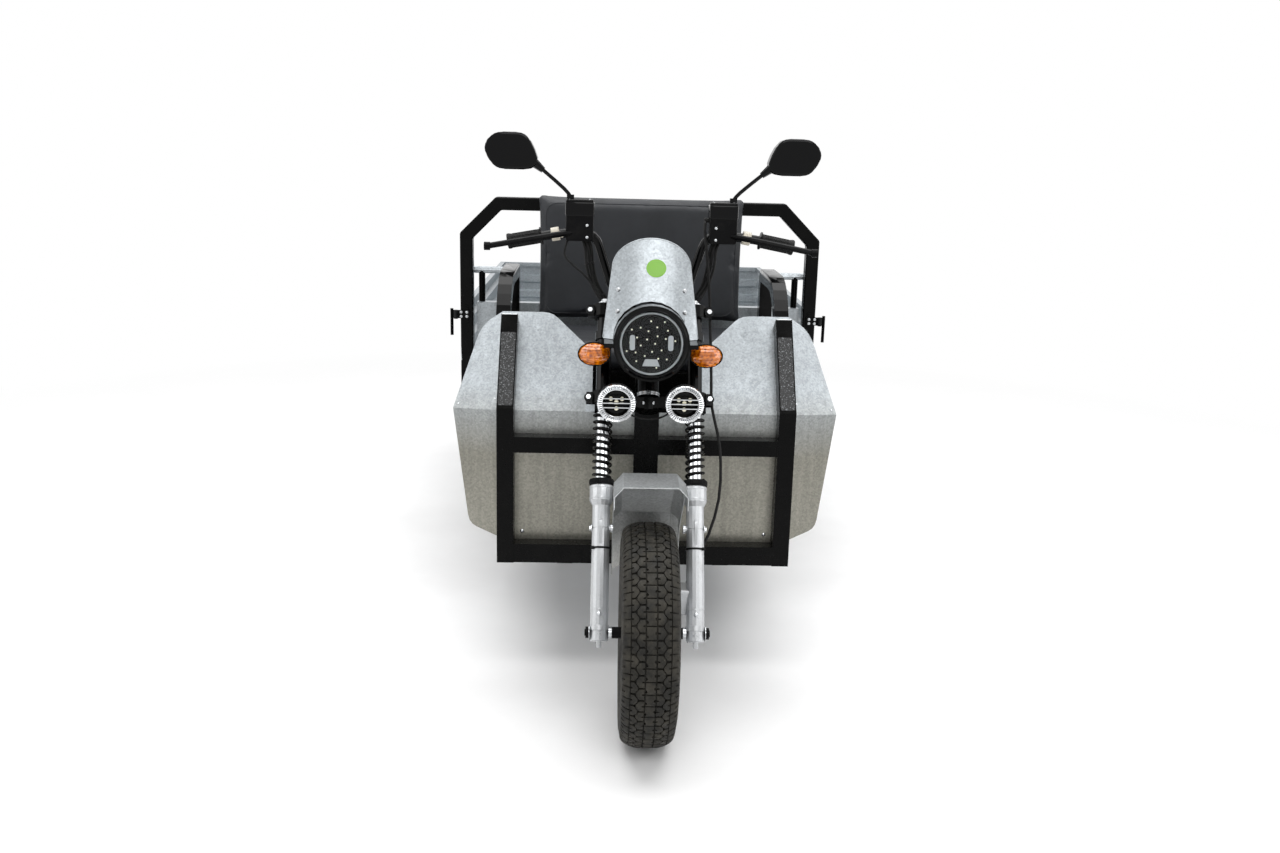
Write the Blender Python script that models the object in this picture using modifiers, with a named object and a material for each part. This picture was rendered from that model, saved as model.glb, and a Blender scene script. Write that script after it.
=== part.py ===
"""Cargo motor tricycle, built as an assembly of separate bodies.

The vehicle faces -Y, +X is its left side and Z is up, with the ground at Z = 0.
Lengths are in metres. A "station" is a distance behind the front axle.
"""

import math

import bmesh
import bpy
from mathutils import Vector

# Clearances
GAP = 0.0003            # between two pieces that seat on each other
WELD = 0.00001
WELD_SHARE = 0.05
HALF_SHARE = 0.5
FILLET_SHARE = 0.45
OVERRUN = 0.004         # how far a cutter runs past what it cuts
LAP = 0.002             # how far two fused members run into each other

# Wheels
WHEELBASE = 1.950
TYRE_RADIUS = 0.250
TYRE_WIDTH = 0.125
TYRE_TREAD_WIDTH = 0.100
TYRE_WALL = 0.010
TYRE_BULGE_SHARE = 0.25
BEAD_RADIUS = 0.133
BEAD_WIDTH = 0.086
RIM_LIP = 0.012
RIM_WELL_SHARE = 1 / 3
RIM_WALL = 0.004
RIM_WELL_DEPTH = 0.018
HUB_RADIUS = 0.030
HUB_LENGTH = 0.096
AXLE_RADIUS = 0.0075
WHEEL_STEPS = 28
VENT_RADIUS = 0.014
VENT_COUNT = 6
DISC_RADIUS = 0.088
DISC_THICKNESS = 0.004

# Steering axis and fork, measured along the fork from the front axle
FORK_RAKE = math.radians(28.0)
FORK_OFFSET = 0.055
FORK_HALF_SPACING = 0.1085
LEG_RADIUS = 0.0205
LEG_CUP_RADIUS = 0.0272
LEG_TOE = 0.020
LEG_TAPER_START = 0.288
LEG_CUP_START = 0.300
LEG_TOP = 0.336
STANCHION_RADIUS = 0.0150
STANCHION_SOCKET = 0.084
COLLAR_RADIUS = 0.0275
COLLAR_HEIGHT = 0.014
SPRING_RADIUS = 0.0235
SPRING_WIRE = 0.0032
SPRING_TURNS = 10
COIL_STEPS = 8
LOWER_YOKE_AT = 0.545
UPPER_YOKE_AT = 0.762
YOKE_THICKNESS = 0.030
YOKE_EYE_RADIUS = 0.028
YOKE_EAR = 0.012
YOKE_EAR_WIDTH = 0.020
YOKE_WEB = 0.040
SHROUD_RADIUS = 0.0175
STEM_RADIUS = 0.0160
STEM_NUT_RADIUS = 0.020
STEM_NUT_HEIGHT = 0.014
HEAD_TUBE_RADIUS = 0.026
HEAD_CLEARANCE = 0.006
BOSS_ALONG = 0.237
BOSS_HEIGHT = 0.022
BOSS_DEPTH = 0.016
AXLE_NUT_RADIUS = 0.013
AXLE_NUT_LENGTH = 0.0115
CALIPER_CLEARANCE = 0.005
CALIPER_BEHIND = 0.030
CALIPER_LIFT = 0.030
CALIPER_HEIGHT = 0.060
CALIPER_DEPTH = 0.058
CALIPER_ROUND = 0.004

# Handlebar and what it carries
BAR_RADIUS = 0.011
BAR_STATION = 0.420
BAR_Z = 0.950
BAR_CLAMP_X = 0.045
BAR_CLAMP_WIDTH = 0.024
BAR_CLAMP_SIZE = 0.020
BAR_LOW_HALF = 0.085
BAR_RISE_X = 0.135
BAR_RISE_Z = 1.112
GRIP_START_X = 0.243
GRIP_END_X = 0.345
GRIP_START_Z = 1.102
GRIP_END_Z = 1.083
GRIP_STATION = 0.400
GRIP_RADIUS = 0.0155
GRIP_FLANGE = 0.021
BAR_BEND = 0.040
CONTROL_X = 0.172
CONTROL_HALF = 0.033
CONTROL_HEIGHT = 0.098
CONTROL_ABOVE_SHARE = 0.8
HOSE_START_SHARE = 1 / 3
CONTROL_DEPTH = 0.044
LEVER_TIP_X = 0.390
LEVER_AHEAD = 0.042
LEVER_RADIUS = 0.007
LEVER_BALL_SHARE = 1.4
LEVER_ROOT_SHARE = 1 / 3
MIRROR_STEM_X = 0.205
MIRROR_STEM_RADIUS = 0.005
MIRROR_STEM_BEND_Z = 1.207
MIRROR_X = 0.3365
MIRROR_Z = 1.296
MIRROR_WIDTH = 0.135
MIRROR_HEIGHT = 0.086
MIRROR_DEPTH = 0.036
MIRROR_CORNER = 0.024
MIRROR_CORNER_SHARES = [(1.0, 0.15), (0.55, -1.0), (-0.80, -1.0), (-1.0, -0.40), (-0.55, 1.0), (0.60, 1.0)]
MIRROR_NECK_X = 0.262
MIRROR_NECK_Z = 1.254
MIRROR_BOOT_SHARE = 0.38
MIRROR_ROUND_SHARE = 1 / 3

# Lamps and cowl
LAMP_Z = 0.875
LAMP_ARM_SHARE = 0.25
LAMP_SIDE_SHARE = 1 / 3
LAMP_FACE = 0.190
LAMP_RADIUS = 0.088
LAMP_DEPTH = 0.105
LAMP_BACK_RADIUS = 0.050
LAMP_LENS_RADIUS = 0.073
LAMP_LENS_INSET = 0.008
LAMP_BRACKET_ALONG = 0.700
LAMP_BRACKET = 0.020
LAMP_CLAMP_WALL = 0.004
INDICATOR_X = 0.131
INDICATOR_Z = 0.840
INDICATOR_WIDTH = 0.075
INDICATOR_HEIGHT = 0.054
INDICATOR_DEPTH = 0.050
INDICATOR_FACE = 0.222
INDICATOR_STALK = 0.007
FOG_X = 0.078
FOG_Z = 0.743
FOG_MOUTH_SHARE = 0.72
FOG_FLOOR_SHARE = 0.45
FOG_LIP_SHARE = 0.125
FOG_SIDE_SHARE = 0.25
FOG_BAR_SHARE = 1 / 6
FOG_STEM_SHARE = 0.25
FOG_FACE = 0.150
FOG_RADIUS = 0.044
FOG_DEPTH = 0.048
FOG_BAR_RADIUS = 0.0022
FOG_BARS = 3
COWL_HALF_WIDTH = 0.1115
COWL_NECK_HALF_WIDTH = 0.092
COWL_BOTTOM_Z = 0.874
COWL_NECK_Z = 1.035
COWL_TOP_Z = 1.105
COWL_STATION = 0.300
COWL_LEAN = 0.300
COWL_BULGE = 0.062
COWL_ROUND_SHARE = 0.9
COWL_SHEET = 0.002
COWL_ROWS = 3
COWL_CROWN_ROWS = 4
COWL_COLUMNS = 8
HOSE_RADIUS = 0.0035
HOSE_STEPS = 2
HOSE_FERRULE = 0.008
HOSE_ROUTE = [(0.128, 0.386, 1.122), (0.138, 0.384, 1.040), (0.146, 0.386, 0.960), (0.148, 0.384, 0.912),
              (0.150, 0.355, 0.850), (0.150, 0.308, 0.780), (0.152, 0.278, 0.710), (0.166, 0.248, 0.650),
              (0.172, 0.215, 0.590), (0.168, 0.186, 0.510), (0.145, 0.162, 0.430), (0.108, 0.138, 0.360)]

# Front fender, folded from flat sheet
FENDER_SHEET = 0.002
FENDER_HALF_TOP = 0.060
FENDER_HALF_WIDTH = 0.080
FENDER_CHAMFER_DROP = 0.022
FENDER_FRONT = -0.030
FENDER_TOP_Z = 0.598
FENDER_TOP_BACK = 0.085
FENDER_KNEE = 0.270
FENDER_KNEE_Z = 0.450
FENDER_HEEL = 0.303
FENDER_HEEL_Z = 0.300
FENDER_SKIRT = 0.050

# Leg shield
SHIELD_FACE = 0.360
SHIELD_TUBE = 0.042
SHIELD_FOOT_HEIGHT = 0.050
SHIELD_HALF_WIDTH = 0.370
SHIELD_BOTTOM_Z = 0.280
SHIELD_CROSS_Z = 0.567
SHIELD_CROSS_HEIGHT = 0.041
SHIELD_FOLD_Z = 0.680
SHIELD_TOP_Z = 0.892
SHIELD_TOP_SETBACK = 0.150
TUBE_INSET = 0.001
SHEET = 0.002
SHEET_SEAM = 0.0005
SHEET_CORNER = 0.022
UPPER_PANEL_HEIGHT = 0.275
UPPER_PANEL_INNER = 0.136
UPPER_PANEL_CHAMFER = 0.108
UPPER_PANEL_CHAMFER_DROP = 0.110
WING_REACH = 0.117
WING_SWEEP = 0.045
WING_CORNER_Z = 0.660
WING_TOP_SHOULDER = 0.055
WING_TOP_DROP = 0.036
WING_FOOT_REACH = 0.077
WING_FOOT_Z = 0.360
WING_HEEL_Z = 0.335
POST_WIDTH = 0.060
POST_TOP_DROP = 0.028
GUSSET_SETBACK = 0.018
GUSSET_DROP = 0.055
GUSSET_THICKNESS = 0.030

# Frame under the floor, the seat and the bed
RAIL_X = 0.200
RAIL_WIDTH = 0.040
RAIL_HEIGHT = 0.050
LOW_RAIL_TOP = 0.315
RISER_START = 1.310
RISER_RUN = 0.130
CROSS_SIZE = 0.040
FLOOR_HALF_WIDTH = 0.366
FLOOR_SHEET = 0.003
FLOOR_LIP = 0.030

# Seat
SEAT_BOX_FRONT = 0.800
SEAT_BOX_BACK = 1.272
SEAT_BOX_HALF_WIDTH = 0.420
SEAT_BOX_TOP = 0.690
SEAT_BOX_WALL = 0.003
BATTERY_WIDTH = 0.560
BATTERY_DEPTH = 0.340
BATTERY_HEIGHT = 0.230
CUSHION_FRONT = 0.810
CUSHION_BACK = 1.216
CUSHION_HALF_WIDTH = 0.335
CUSHION_TOP = 0.757
BACKREST_FACE = 1.220
BACKREST_HALF_WIDTH = 0.331
BACKREST_BOTTOM = 0.762
BACKREST_TOP = 1.170
SOFT_ROUND = 0.018
ARMREST_X = 0.395
ARMREST_TUBE = 0.040
ARMREST_TOP = 0.950
ARMREST_FRONT = 0.850
ARMREST_BACK = 1.240
ARMREST_BEND = 0.190
ARMREST_REAR_BEND = 0.050

# Hoop behind the seat, with its latches
HOOP_FACE = 1.280
HOOP_TUBE = 0.040
HOOP_HALF_WIDTH = 0.568
HOOP_TOP = 1.146
HOOP_CHAMFER = 0.113
HOOP_FOOT_Z = 0.470
HOOP_ROUND = 0.003
LATCH_Z = 0.777
LATCH_PLATE_WIDTH = 0.052
LATCH_PLATE_HEIGHT = 0.026
LATCH_PLATE = 0.006
LATCH_TIP = 0.600
LATCH_ROD = 0.005
LATCH_DROP = 0.080

# Cargo bed
BED_FRONT = 1.3203
BED_LENGTH = 1.290
BED_HALF_WIDTH = 0.535
BED_FLOOR_Z = 0.600
BED_SHEET = 0.0025
BED_TUBE = 0.030
BOARD_TOP = 0.810
BOARD_THICKNESS = 0.020
BOARD_RIB_SHARE = 0.25
BOARD_SKIN = 0.0025
BOARD_CLEARANCE = 0.0055
BOARD_END_GAP = 0.010
HINGE_DROP = 0.015
HINGE_OUT = 0.017
HINGE_RADIUS = 0.007
HINGE_KNUCKLE = 0.034
HINGE_LEAF = 0.004
HINGE_INSET = 0.140
HINGE_PLAY = 0.0003
BEARER_SPACING = 0.320
RIB_LOW_SHARE = 0.34
RIB_HIGH_SHARE = 0.66
RIB_HALF = 0.010
BOARD_LIP = 0.015
TAILGATE_HALF_WIDTH = 0.560
FRONT_BOARD_HALF_WIDTH = 0.520
GUARD_POST_RADIUS = 0.009
FRONT_BOARD_TOP = 0.811
FRONT_BOARD_FLANGE = 0.040
GUARD_TUBE_RADIUS = 0.011
GUARD_INNER_X = 0.405
GUARD_OUTER_X = 0.505
GUARD_END_X = 0.545
GUARD_TOP = 0.924
GUARD_BEND = 0.030

# Rear axle, springs, mudguards and lamps
REAR_TRACK_HALF = 0.465
AXLE_TUBE_RADIUS = 0.030
DIFF_RADIUS = 0.085
DIFF_HALF_WIDTH = 0.075
MOTOR_RADIUS = 0.078
MOTOR_HALF_LENGTH = 0.120
MOTOR_AHEAD = 0.150
FLANGE_RADIUS = 0.055
AXLE_FLANGE = 0.010
WHEEL_CLEARANCE = 0.006
SEAT_PAD = 0.090
LEAF_WIDTH = 0.045
LEAF_THICKNESS = 0.008
LEAF_COUNT = 4
LEAF_HALF_SPAN = 0.330
LEAF_RISE = 0.105
LEAF_STEP = 0.070
LEAF_EYE_RADIUS = 0.015
LEAF_STEPS = 18
LEAF_SPAN_STEPS = 3
SPRING_SEAT = 0.006
CHEEK = 0.005
MUDGUARD_CLEARANCE = 0.030
MUDGUARD_WIDTH = 0.140
MUDGUARD_SHEET = 0.002
MUDGUARD_BRACKET = 0.020
MUDGUARD_START = 15
MUDGUARD_STEPS = 14
TAIL_LAMP_WIDTH = 0.110
TAIL_LAMP_HEIGHT = 0.055
TAIL_LAMP_DEPTH = 0.035
TAIL_LAMP_X = 0.380

# Places worked out from the sizes above
SIDE_VIEW = (math.pi / 2, 0, math.pi / 2)       # outline drawn as (station, height)
FRONT_VIEW = (math.pi / 2, 0, 0)                # outline drawn as (across, height)
ACROSS = (0, math.pi / 2, 0)                    # a turned piece whose axis lies across
FACING_FRONT = (math.pi / 2, 0, 0)              # a turned piece whose axis points forward

BED_BACK = BED_FRONT + BED_LENGTH
REAR_REACH = BED_BACK + BOARD_CLEARANCE + BOARD_THICKNESS
FRONT_AXLE_Y = (TYRE_RADIUS - REAR_REACH) / 2
SHIELD_LEAN = math.atan2(SHIELD_TOP_SETBACK, SHIELD_TOP_Z - SHIELD_FOLD_Z)
SHEET_FACE = SHIELD_FACE + SHIELD_TUBE + GAP
RAIL_FRONT = SHIELD_FACE + SHIELD_TUBE + GAP
FLOOR_TOP = LOW_RAIL_TOP + GAP + FLOOR_SHEET
BED_TUBE_TOP = BED_FLOOR_Z - BED_SHEET - GAP
BED_TUBE_BOTTOM = BED_TUBE_TOP - BED_TUBE
HIGH_RAIL_TOP = BED_TUBE_BOTTOM - GAP
RAIL_END = BED_BACK - BED_TUBE
HINGE_Z = BED_FLOOR_Z - HINGE_DROP
SIDE_HINGE_X = BED_HALF_WIDTH + HINGE_OUT
TAIL_HINGE_Y = BED_BACK + HINGE_OUT
BOARD_BOTTOM = BED_FLOOR_Z + BOARD_CLEARANCE
HEAD_BOTTOM_AT = LOWER_YOKE_AT + YOKE_THICKNESS / 2 + HEAD_CLEARANCE
HEAD_TOP_AT = UPPER_YOKE_AT - YOKE_THICKNESS / 2 - HEAD_CLEARANCE
STEM_TOP_AT = UPPER_YOKE_AT + YOKE_THICKNESS / 2 + GAP

# Finishes: colour, roughness, metallic
FINISHES = {
    "black_enamel": ((0.012, 0.012, 0.013), 0.32, 0.0),
    "galvanised": ((0.62, 0.64, 0.65), 0.38, 0.9),
    "silver_paint": ((0.60, 0.61, 0.62), 0.42, 0.6),
    "chrome": ((0.78, 0.79, 0.80), 0.10, 1.0),
    "rubber": ((0.030, 0.029, 0.027), 0.85, 0.0),
    "vinyl": ((0.028, 0.029, 0.031), 0.55, 0.0),
    "amber": ((0.85, 0.24, 0.02), 0.12, 0.0),
    "red_lens": ((0.55, 0.01, 0.01), 0.12, 0.0),
    "gloss_black": ((0.010, 0.010, 0.011), 0.12, 0.0),
    "cast_grey": ((0.20, 0.20, 0.21), 0.50, 0.5),
}

LEFT = 1
RIGHT = -1


def clear_scene():
    """Remove what the scene holds, such as the start-up objects."""
    for obj in list(bpy.data.objects):
        bpy.data.objects.remove(obj, do_unlink=True)
    for collection in list(bpy.data.collections):
        bpy.data.collections.remove(collection)


def new_collection(name, parent=None):
    collection = bpy.data.collections.new(name)
    (parent or bpy.context.scene.collection).children.link(collection)
    return collection


clear_scene()
PARTS = new_collection("cargo_motor_tricycle")
GUIDES = new_collection("cutters")


def new_empty(name, location, rotation=(0, 0, 0), parent=None):
    """An empty that pieces hang from: the datum, or a joint's axis."""
    empty = bpy.data.objects.new(name, None)
    empty.location = location
    empty.rotation_euler = rotation
    empty.parent = parent
    PARTS.objects.link(empty)
    return empty


DATUM = new_empty("front_axle_datum", (0, FRONT_AXLE_Y, 0))


def add_object(name, data, location=(0, 0, 0), rotation=(0, 0, 0)):
    obj = bpy.data.objects.new(name, data)
    obj.location = location
    obj.rotation_euler = rotation
    obj.parent = DATUM
    PARTS.objects.link(obj)
    return obj


def mesh_object(name, bm, location=(0, 0, 0), rotation=(0, 0, 0)):
    mesh = bpy.data.meshes.new(name)
    bm.to_mesh(mesh)
    bm.free()
    return add_object(name, mesh, location, rotation)


def block(name, low, high):
    """A box between two opposite corners."""
    size = Vector(high) - Vector(low)
    bm = bmesh.new()
    bmesh.ops.create_cube(bm, size=1)
    bmesh.ops.scale(bm, vec=size, verts=bm.verts)
    return mesh_object(name, bm, (Vector(low) + Vector(high)) / 2)


def rod(name, radius, start, end, steps=16, end_radius=None):
    """A round bar, or a cone, between two points."""
    start, end = Vector(start), Vector(end)
    run = end - start
    bm = bmesh.new()
    bmesh.ops.create_cone(bm, cap_ends=True, segments=steps, radius1=radius,
                          radius2=radius if end_radius is None else end_radius, depth=run.length)
    obj = mesh_object(name, bm, (start + end) / 2)
    obj.rotation_euler = run.to_track_quat("Z", "Y").to_euler()
    shade_round(obj)
    return obj


def shade_round(obj, angle=35.0):
    obj.data.shade_smooth()
    obj.data.set_sharp_from_angle(angle=math.radians(angle))


def turned(name, profile, location, rotation, steps=WHEEL_STEPS, closed=False):
    """Revolve a profile of (radius, height) about local Z; its outer side runs downwards."""
    bm = bmesh.new()
    verts = [bm.verts.new((radius, 0, height)) for radius, height in profile]
    for first, second in zip(verts, verts[1:]):
        bm.edges.new((first, second))
    if closed:
        bm.edges.new((verts[-1], verts[0]))
    obj = mesh_object(name, bm, location, rotation)
    screw = obj.modifiers.new("turn", "SCREW")
    screw.axis = "Z"
    screw.angle = math.tau
    screw.steps = steps
    screw.render_steps = steps
    screw.use_merge_vertices = True
    screw.merge_threshold = WELD
    screw.use_smooth_shade = True
    return obj


def plate(name, outline, thickness, location=(0, 0, 0), rotation=(0, 0, 0)):
    """A flat outline with a thickness, centred on its own plane."""
    curve = bpy.data.curves.new(name, "CURVE")
    curve.dimensions = "2D"
    curve.fill_mode = "BOTH"
    curve.extrude = thickness / 2
    spline = curve.splines.new("POLY")
    spline.points.add(len(outline) - 1)
    for point, (across, up) in zip(spline.points, outline):
        point.co = (across, up, 0, 1)
    spline.use_cyclic_u = True
    return to_mesh(add_object(name, curve, location, rotation))


def tube(name, points, radius, sides=2, closed=False):
    """A round bar bent along points."""
    curve = bpy.data.curves.new(name, "CURVE")
    curve.dimensions = "3D"
    curve.bevel_depth = radius
    curve.bevel_resolution = sides
    curve.use_fill_caps = not closed
    spline = curve.splines.new("POLY")
    spline.points.add(len(points) - 1)
    for point, place in zip(spline.points, points):
        point.co = (*place, 1)
    spline.use_cyclic_u = closed
    return to_mesh(add_object(name, curve))


def to_mesh(curve):
    """Turn a curve into a mesh whose caps are welded, in the same place."""
    bpy.context.view_layer.update()
    graph = bpy.context.evaluated_depsgraph_get()
    name = curve.name
    curve.name = name + "_curve"
    mesh = bpy.data.meshes.new_from_object(curve.evaluated_get(graph))
    bm = bmesh.new()
    bm.from_mesh(mesh)
    bmesh.ops.remove_doubles(bm, verts=bm.verts, dist=WELD)
    bmesh.ops.recalc_face_normals(bm, faces=bm.faces)
    bm.to_mesh(mesh)
    bm.free()
    obj = add_object(name, mesh)
    obj.matrix_world = curve.matrix_world
    bpy.data.objects.remove(curve, do_unlink=True)
    return obj


def set_aside(name, pieces):
    """Move pieces to a collection of their own, where they only shape another piece."""
    group = new_collection(name, GUIDES)
    for piece in pieces:
        for collection in list(piece.users_collection):
            collection.objects.unlink(piece)
        group.objects.link(piece)
        piece.hide_render = True
        piece.display_type = "WIRE"
    return group


def combine(obj, pieces, operation):
    modifier = obj.modifiers.new(operation.lower(), "BOOLEAN")
    modifier.operation = operation
    modifier.solver = "EXACT"
    modifier.operand_type = "COLLECTION"
    modifier.collection = set_aside(obj.name + "_" + operation.lower(), pieces)
    return obj


def fuse(obj, *pieces):
    return combine(obj, pieces, "UNION")


def cut(obj, *pieces):
    return combine(obj, pieces, "DIFFERENCE")


def round_edges(obj, width, segments=2, angle=30.0):
    modifier = obj.modifiers.new("round", "BEVEL")
    modifier.width = width
    modifier.segments = segments
    modifier.limit_method = "ANGLE"
    modifier.angle_limit = math.radians(angle)
    return obj


def thicken(obj, thickness, side=-1):
    """Give an open surface a wall, on the side away from its faces for -1."""
    modifier = obj.modifiers.new("wall", "SOLIDIFY")
    modifier.thickness = thickness
    modifier.offset = side
    modifier.use_even_offset = True
    return obj


def carry(obj, pivot):
    """Hang a piece on a joint's empty without moving it."""
    obj.parent = pivot
    obj.matrix_parent_inverse = pivot.matrix_basis.inverted()
    return obj


def finish(obj, finish_name):
    """Give a node its own material."""
    colour, roughness, metallic = FINISHES[finish_name]
    material = bpy.data.materials.new(obj.name + "_" + finish_name)
    material.use_nodes = True
    shader = material.node_tree.nodes["Principled BSDF"]
    shader.inputs["Base Color"].default_value = (*colour, 1)
    shader.inputs["Roughness"].default_value = roughness
    shader.inputs["Metallic"].default_value = metallic
    obj.data.materials.clear()
    obj.data.materials.append(material)
    return obj


def side_name(stem, side):
    return stem + ("_left" if side == LEFT else "_right")


def arc(centre, radius, start, end, steps):
    """Points on a circle, with angles in degrees."""
    points = []
    for step in range(steps + 1):
        angle = math.radians(start + (end - start) * step / steps)
        points.append((centre[0] + radius * math.cos(angle), centre[1] + radius * math.sin(angle)))
    return points


def filleted(points, radius, steps=3, closed=False):
    """Replace each corner of a polyline, flat or in space, by a short curve."""
    points = [Vector(point) for point in points]
    smooth = [] if closed else [points[0]]
    count = len(points)
    corners = range(count) if closed else range(1, count - 1)
    for index in corners:
        corner = points[index]
        before, after = points[index - 1], points[(index + 1) % count]
        reach_in = min(radius, (before - corner).length * FILLET_SHARE)
        reach_out = min(radius, (after - corner).length * FILLET_SHARE)
        start = corner + (before - corner).normalized() * reach_in
        end = corner + (after - corner).normalized() * reach_out
        for step in range(steps + 1):
            share = step / steps
            smooth.append(start * (1 - share) ** 2 + corner * 2 * share * (1 - share) + end * share ** 2)
    if not closed:
        smooth.append(points[-1])
    return [tuple(point) for point in smooth]


def fork_point(across, behind, along):
    """A point given in the fork's own directions, from the front axle."""
    lean, rise = math.sin(FORK_RAKE), math.cos(FORK_RAKE)
    return (across, along * lean + behind * rise, TYRE_RADIUS + along * rise - behind * lean)


FORK_TURN = (-FORK_RAKE, 0, 0)
STEERING = new_empty("steering_axis", fork_point(0, FORK_OFFSET, LOWER_YOKE_AT), FORK_TURN, DATUM)
FRONT_WHEEL = new_empty("front_wheel_axis", (0, 0, TYRE_RADIUS), (0, 0, 0), DATUM)


# Wheels

def tyre_profile():
    """A hollow tyre: tread and sidewalls outside, a wall's thickness inside, open at the beads."""
    half, tread = TYRE_WIDTH / 2, TYRE_TREAD_WIDTH / 2
    bead, bead_half = BEAD_RADIUS + GAP, BEAD_WIDTH / 2 - RIM_WALL - GAP
    shoulder = TYRE_RADIUS - TYRE_WALL
    belly = (bead + TYRE_RADIUS) / 2
    outside = [(bead + RIM_LIP, bead_half), (belly, half),
               (shoulder - TYRE_WALL, half - TYRE_WALL * TYRE_BULGE_SHARE),
               (shoulder, tread), (TYRE_RADIUS, tread / 2)]
    inner_half = half - TYRE_WALL
    inside = [(bead, bead_half - TYRE_WALL), (belly, inner_half), (shoulder - TYRE_WALL, tread - TYRE_WALL)]
    outer = [(bead, bead_half)] + outside
    outer += [(radius, -height) for radius, height in reversed(outer)]
    inner = [(radius, -height) for radius, height in inside]
    inner += [(radius, height) for radius, height in reversed(inside)]
    return outer + inner


def rim_profile(hub_length):
    """A pressed rim with its disc and hub in one section, open at the axle's bore."""
    half, wall = BEAD_WIDTH / 2, RIM_WALL
    lip, seat, well = BEAD_RADIUS + RIM_LIP, BEAD_RADIUS, BEAD_RADIUS - RIM_WELL_DEPTH
    outer = [(lip, half), (seat, half - wall), (well, half * RIM_WELL_SHARE)]
    outer += [(radius, -height) for radius, height in reversed(outer)]
    web = [(seat - wall, -half), (well - wall, -half * RIM_WELL_SHARE), (well - wall, -wall),
           (HUB_RADIUS, -wall),
           (HUB_RADIUS, -hub_length / 2), (AXLE_RADIUS + GAP, -hub_length / 2)]
    web += [(radius, -height) for radius, height in reversed(web)]
    return outer + web


def vents(name, location):
    """Round cutters on a circle in the rim's disc, whose axis lies across."""
    cutters = []
    middle = (HUB_RADIUS + BEAD_RADIUS - RIM_WELL_DEPTH) / 2
    reach = RIM_WALL + OVERRUN
    for index in range(VENT_COUNT):
        angle = math.tau * index / VENT_COUNT
        along, up = location[1] + middle * math.cos(angle), location[2] + middle * math.sin(angle)
        cutters.append(rod(f"{name}_vent_{index}", VENT_RADIUS, (location[0] - reach, along, up),
                           (location[0] + reach, along, up), 8))
    return cutters


def wheel(stem, suffix, location, hub_length, pivot):
    tyre = turned(stem + "_tyre" + suffix, tyre_profile(), location, ACROSS, closed=True)
    rim = turned(stem + "_rim" + suffix, rim_profile(hub_length), location, ACROSS, closed=True)
    cut(rim, *vents(rim.name, location))
    carry(finish(tyre, "rubber"), pivot)
    return carry(finish(rim, "silver_paint"), pivot)


def front_wheel():
    centre = (0, 0, TYRE_RADIUS)
    rim = wheel("front", "", centre, HUB_LENGTH, FRONT_WHEEL)
    outside = HUB_LENGTH / 2 + DISC_THICKNESS + GAP
    disc = rod("brake_disc", DISC_RADIUS, (HUB_LENGTH / 2 + GAP, 0, TYRE_RADIUS),
               (outside, 0, TYRE_RADIUS), 32)
    bore = rod("brake_disc_bore", AXLE_RADIUS + GAP, (HUB_LENGTH / 2 - OVERRUN, 0, TYRE_RADIUS),
               (outside + OVERRUN, 0, TYRE_RADIUS))
    cut(disc, bore)
    carry(finish(disc, "chrome"), FRONT_WHEEL)
    return rim


def rear_wheels():
    for side in (LEFT, RIGHT):
        centre = (side * REAR_TRACK_HALF, WHEELBASE, TYRE_RADIUS)
        pivot = new_empty(side_name("rear_wheel_axis", side), centre, (0, 0, 0), DATUM)
        wheel("rear", side_name("", side), centre, HUB_LENGTH, pivot)


# Fork, in its own directions: across, behind and along

def across_fork(name, profile, across, steps=16, closed=False):
    """Turn a profile whose heights run along one fork leg."""
    return turned(name, profile, fork_point(across, 0, 0), FORK_TURN, steps, closed)


def fork_leg(side):
    """The lower leg: a bored tube with a cup at its top and a lug for the fender."""
    bore = STANCHION_RADIUS + GAP
    centre = side * FORK_HALF_SPACING
    profile = [(0, LEG_TOP - STANCHION_SOCKET), (bore, LEG_TOP - STANCHION_SOCKET), (bore, LEG_TOP),
               (LEG_CUP_RADIUS - LAP, LEG_TOP), (LEG_CUP_RADIUS, LEG_TOP - LAP),
               (LEG_CUP_RADIUS, LEG_CUP_START),
               (LEG_RADIUS, LEG_TAPER_START), (LEG_RADIUS, LAP - LEG_TOE), (LEG_RADIUS - LAP, -LEG_TOE),
               (0, -LEG_TOE)]
    leg = across_fork(side_name("fork_leg", side), profile, centre)
    lug = rod(leg.name + "_lug", BOSS_DEPTH / 2, fork_point(side * (FENDER_HALF_WIDTH + GAP), 0, BOSS_ALONG),
              fork_point(centre, 0, BOSS_ALONG), 8)
    gusset = rod(leg.name + "_gusset", BOSS_DEPTH / 2, fork_point(centre, 0, BOSS_ALONG - BOSS_HEIGHT),
                 fork_point(centre, 0, BOSS_ALONG), 8, LEG_RADIUS + LAP)
    pieces = [lug, gusset]
    if side == LEFT:
        pieces.append(caliper())
    fuse(leg, *pieces)
    inner, outer = FORK_HALF_SPACING - LEG_RADIUS - OVERRUN, FORK_HALF_SPACING + LEG_RADIUS + OVERRUN
    cut(leg, rod(leg.name + "_axle_hole", AXLE_RADIUS + GAP, (side * inner, 0, TYRE_RADIUS),
                 (side * outer, 0, TYRE_RADIUS)))
    return carry(finish(leg, "silver_paint"), STEERING)


def caliper():
    """A brake caliper fused behind the left leg, beside the disc."""
    inside = HUB_LENGTH / 2 + DISC_THICKNESS + CALIPER_CLEARANCE
    low = (inside, CALIPER_BEHIND, TYRE_RADIUS + CALIPER_LIFT)
    high = (FORK_HALF_SPACING, CALIPER_BEHIND + CALIPER_DEPTH, TYRE_RADIUS + CALIPER_LIFT + CALIPER_HEIGHT)
    return round_edges(block("caliper_body", low, high), CALIPER_ROUND)


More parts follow.
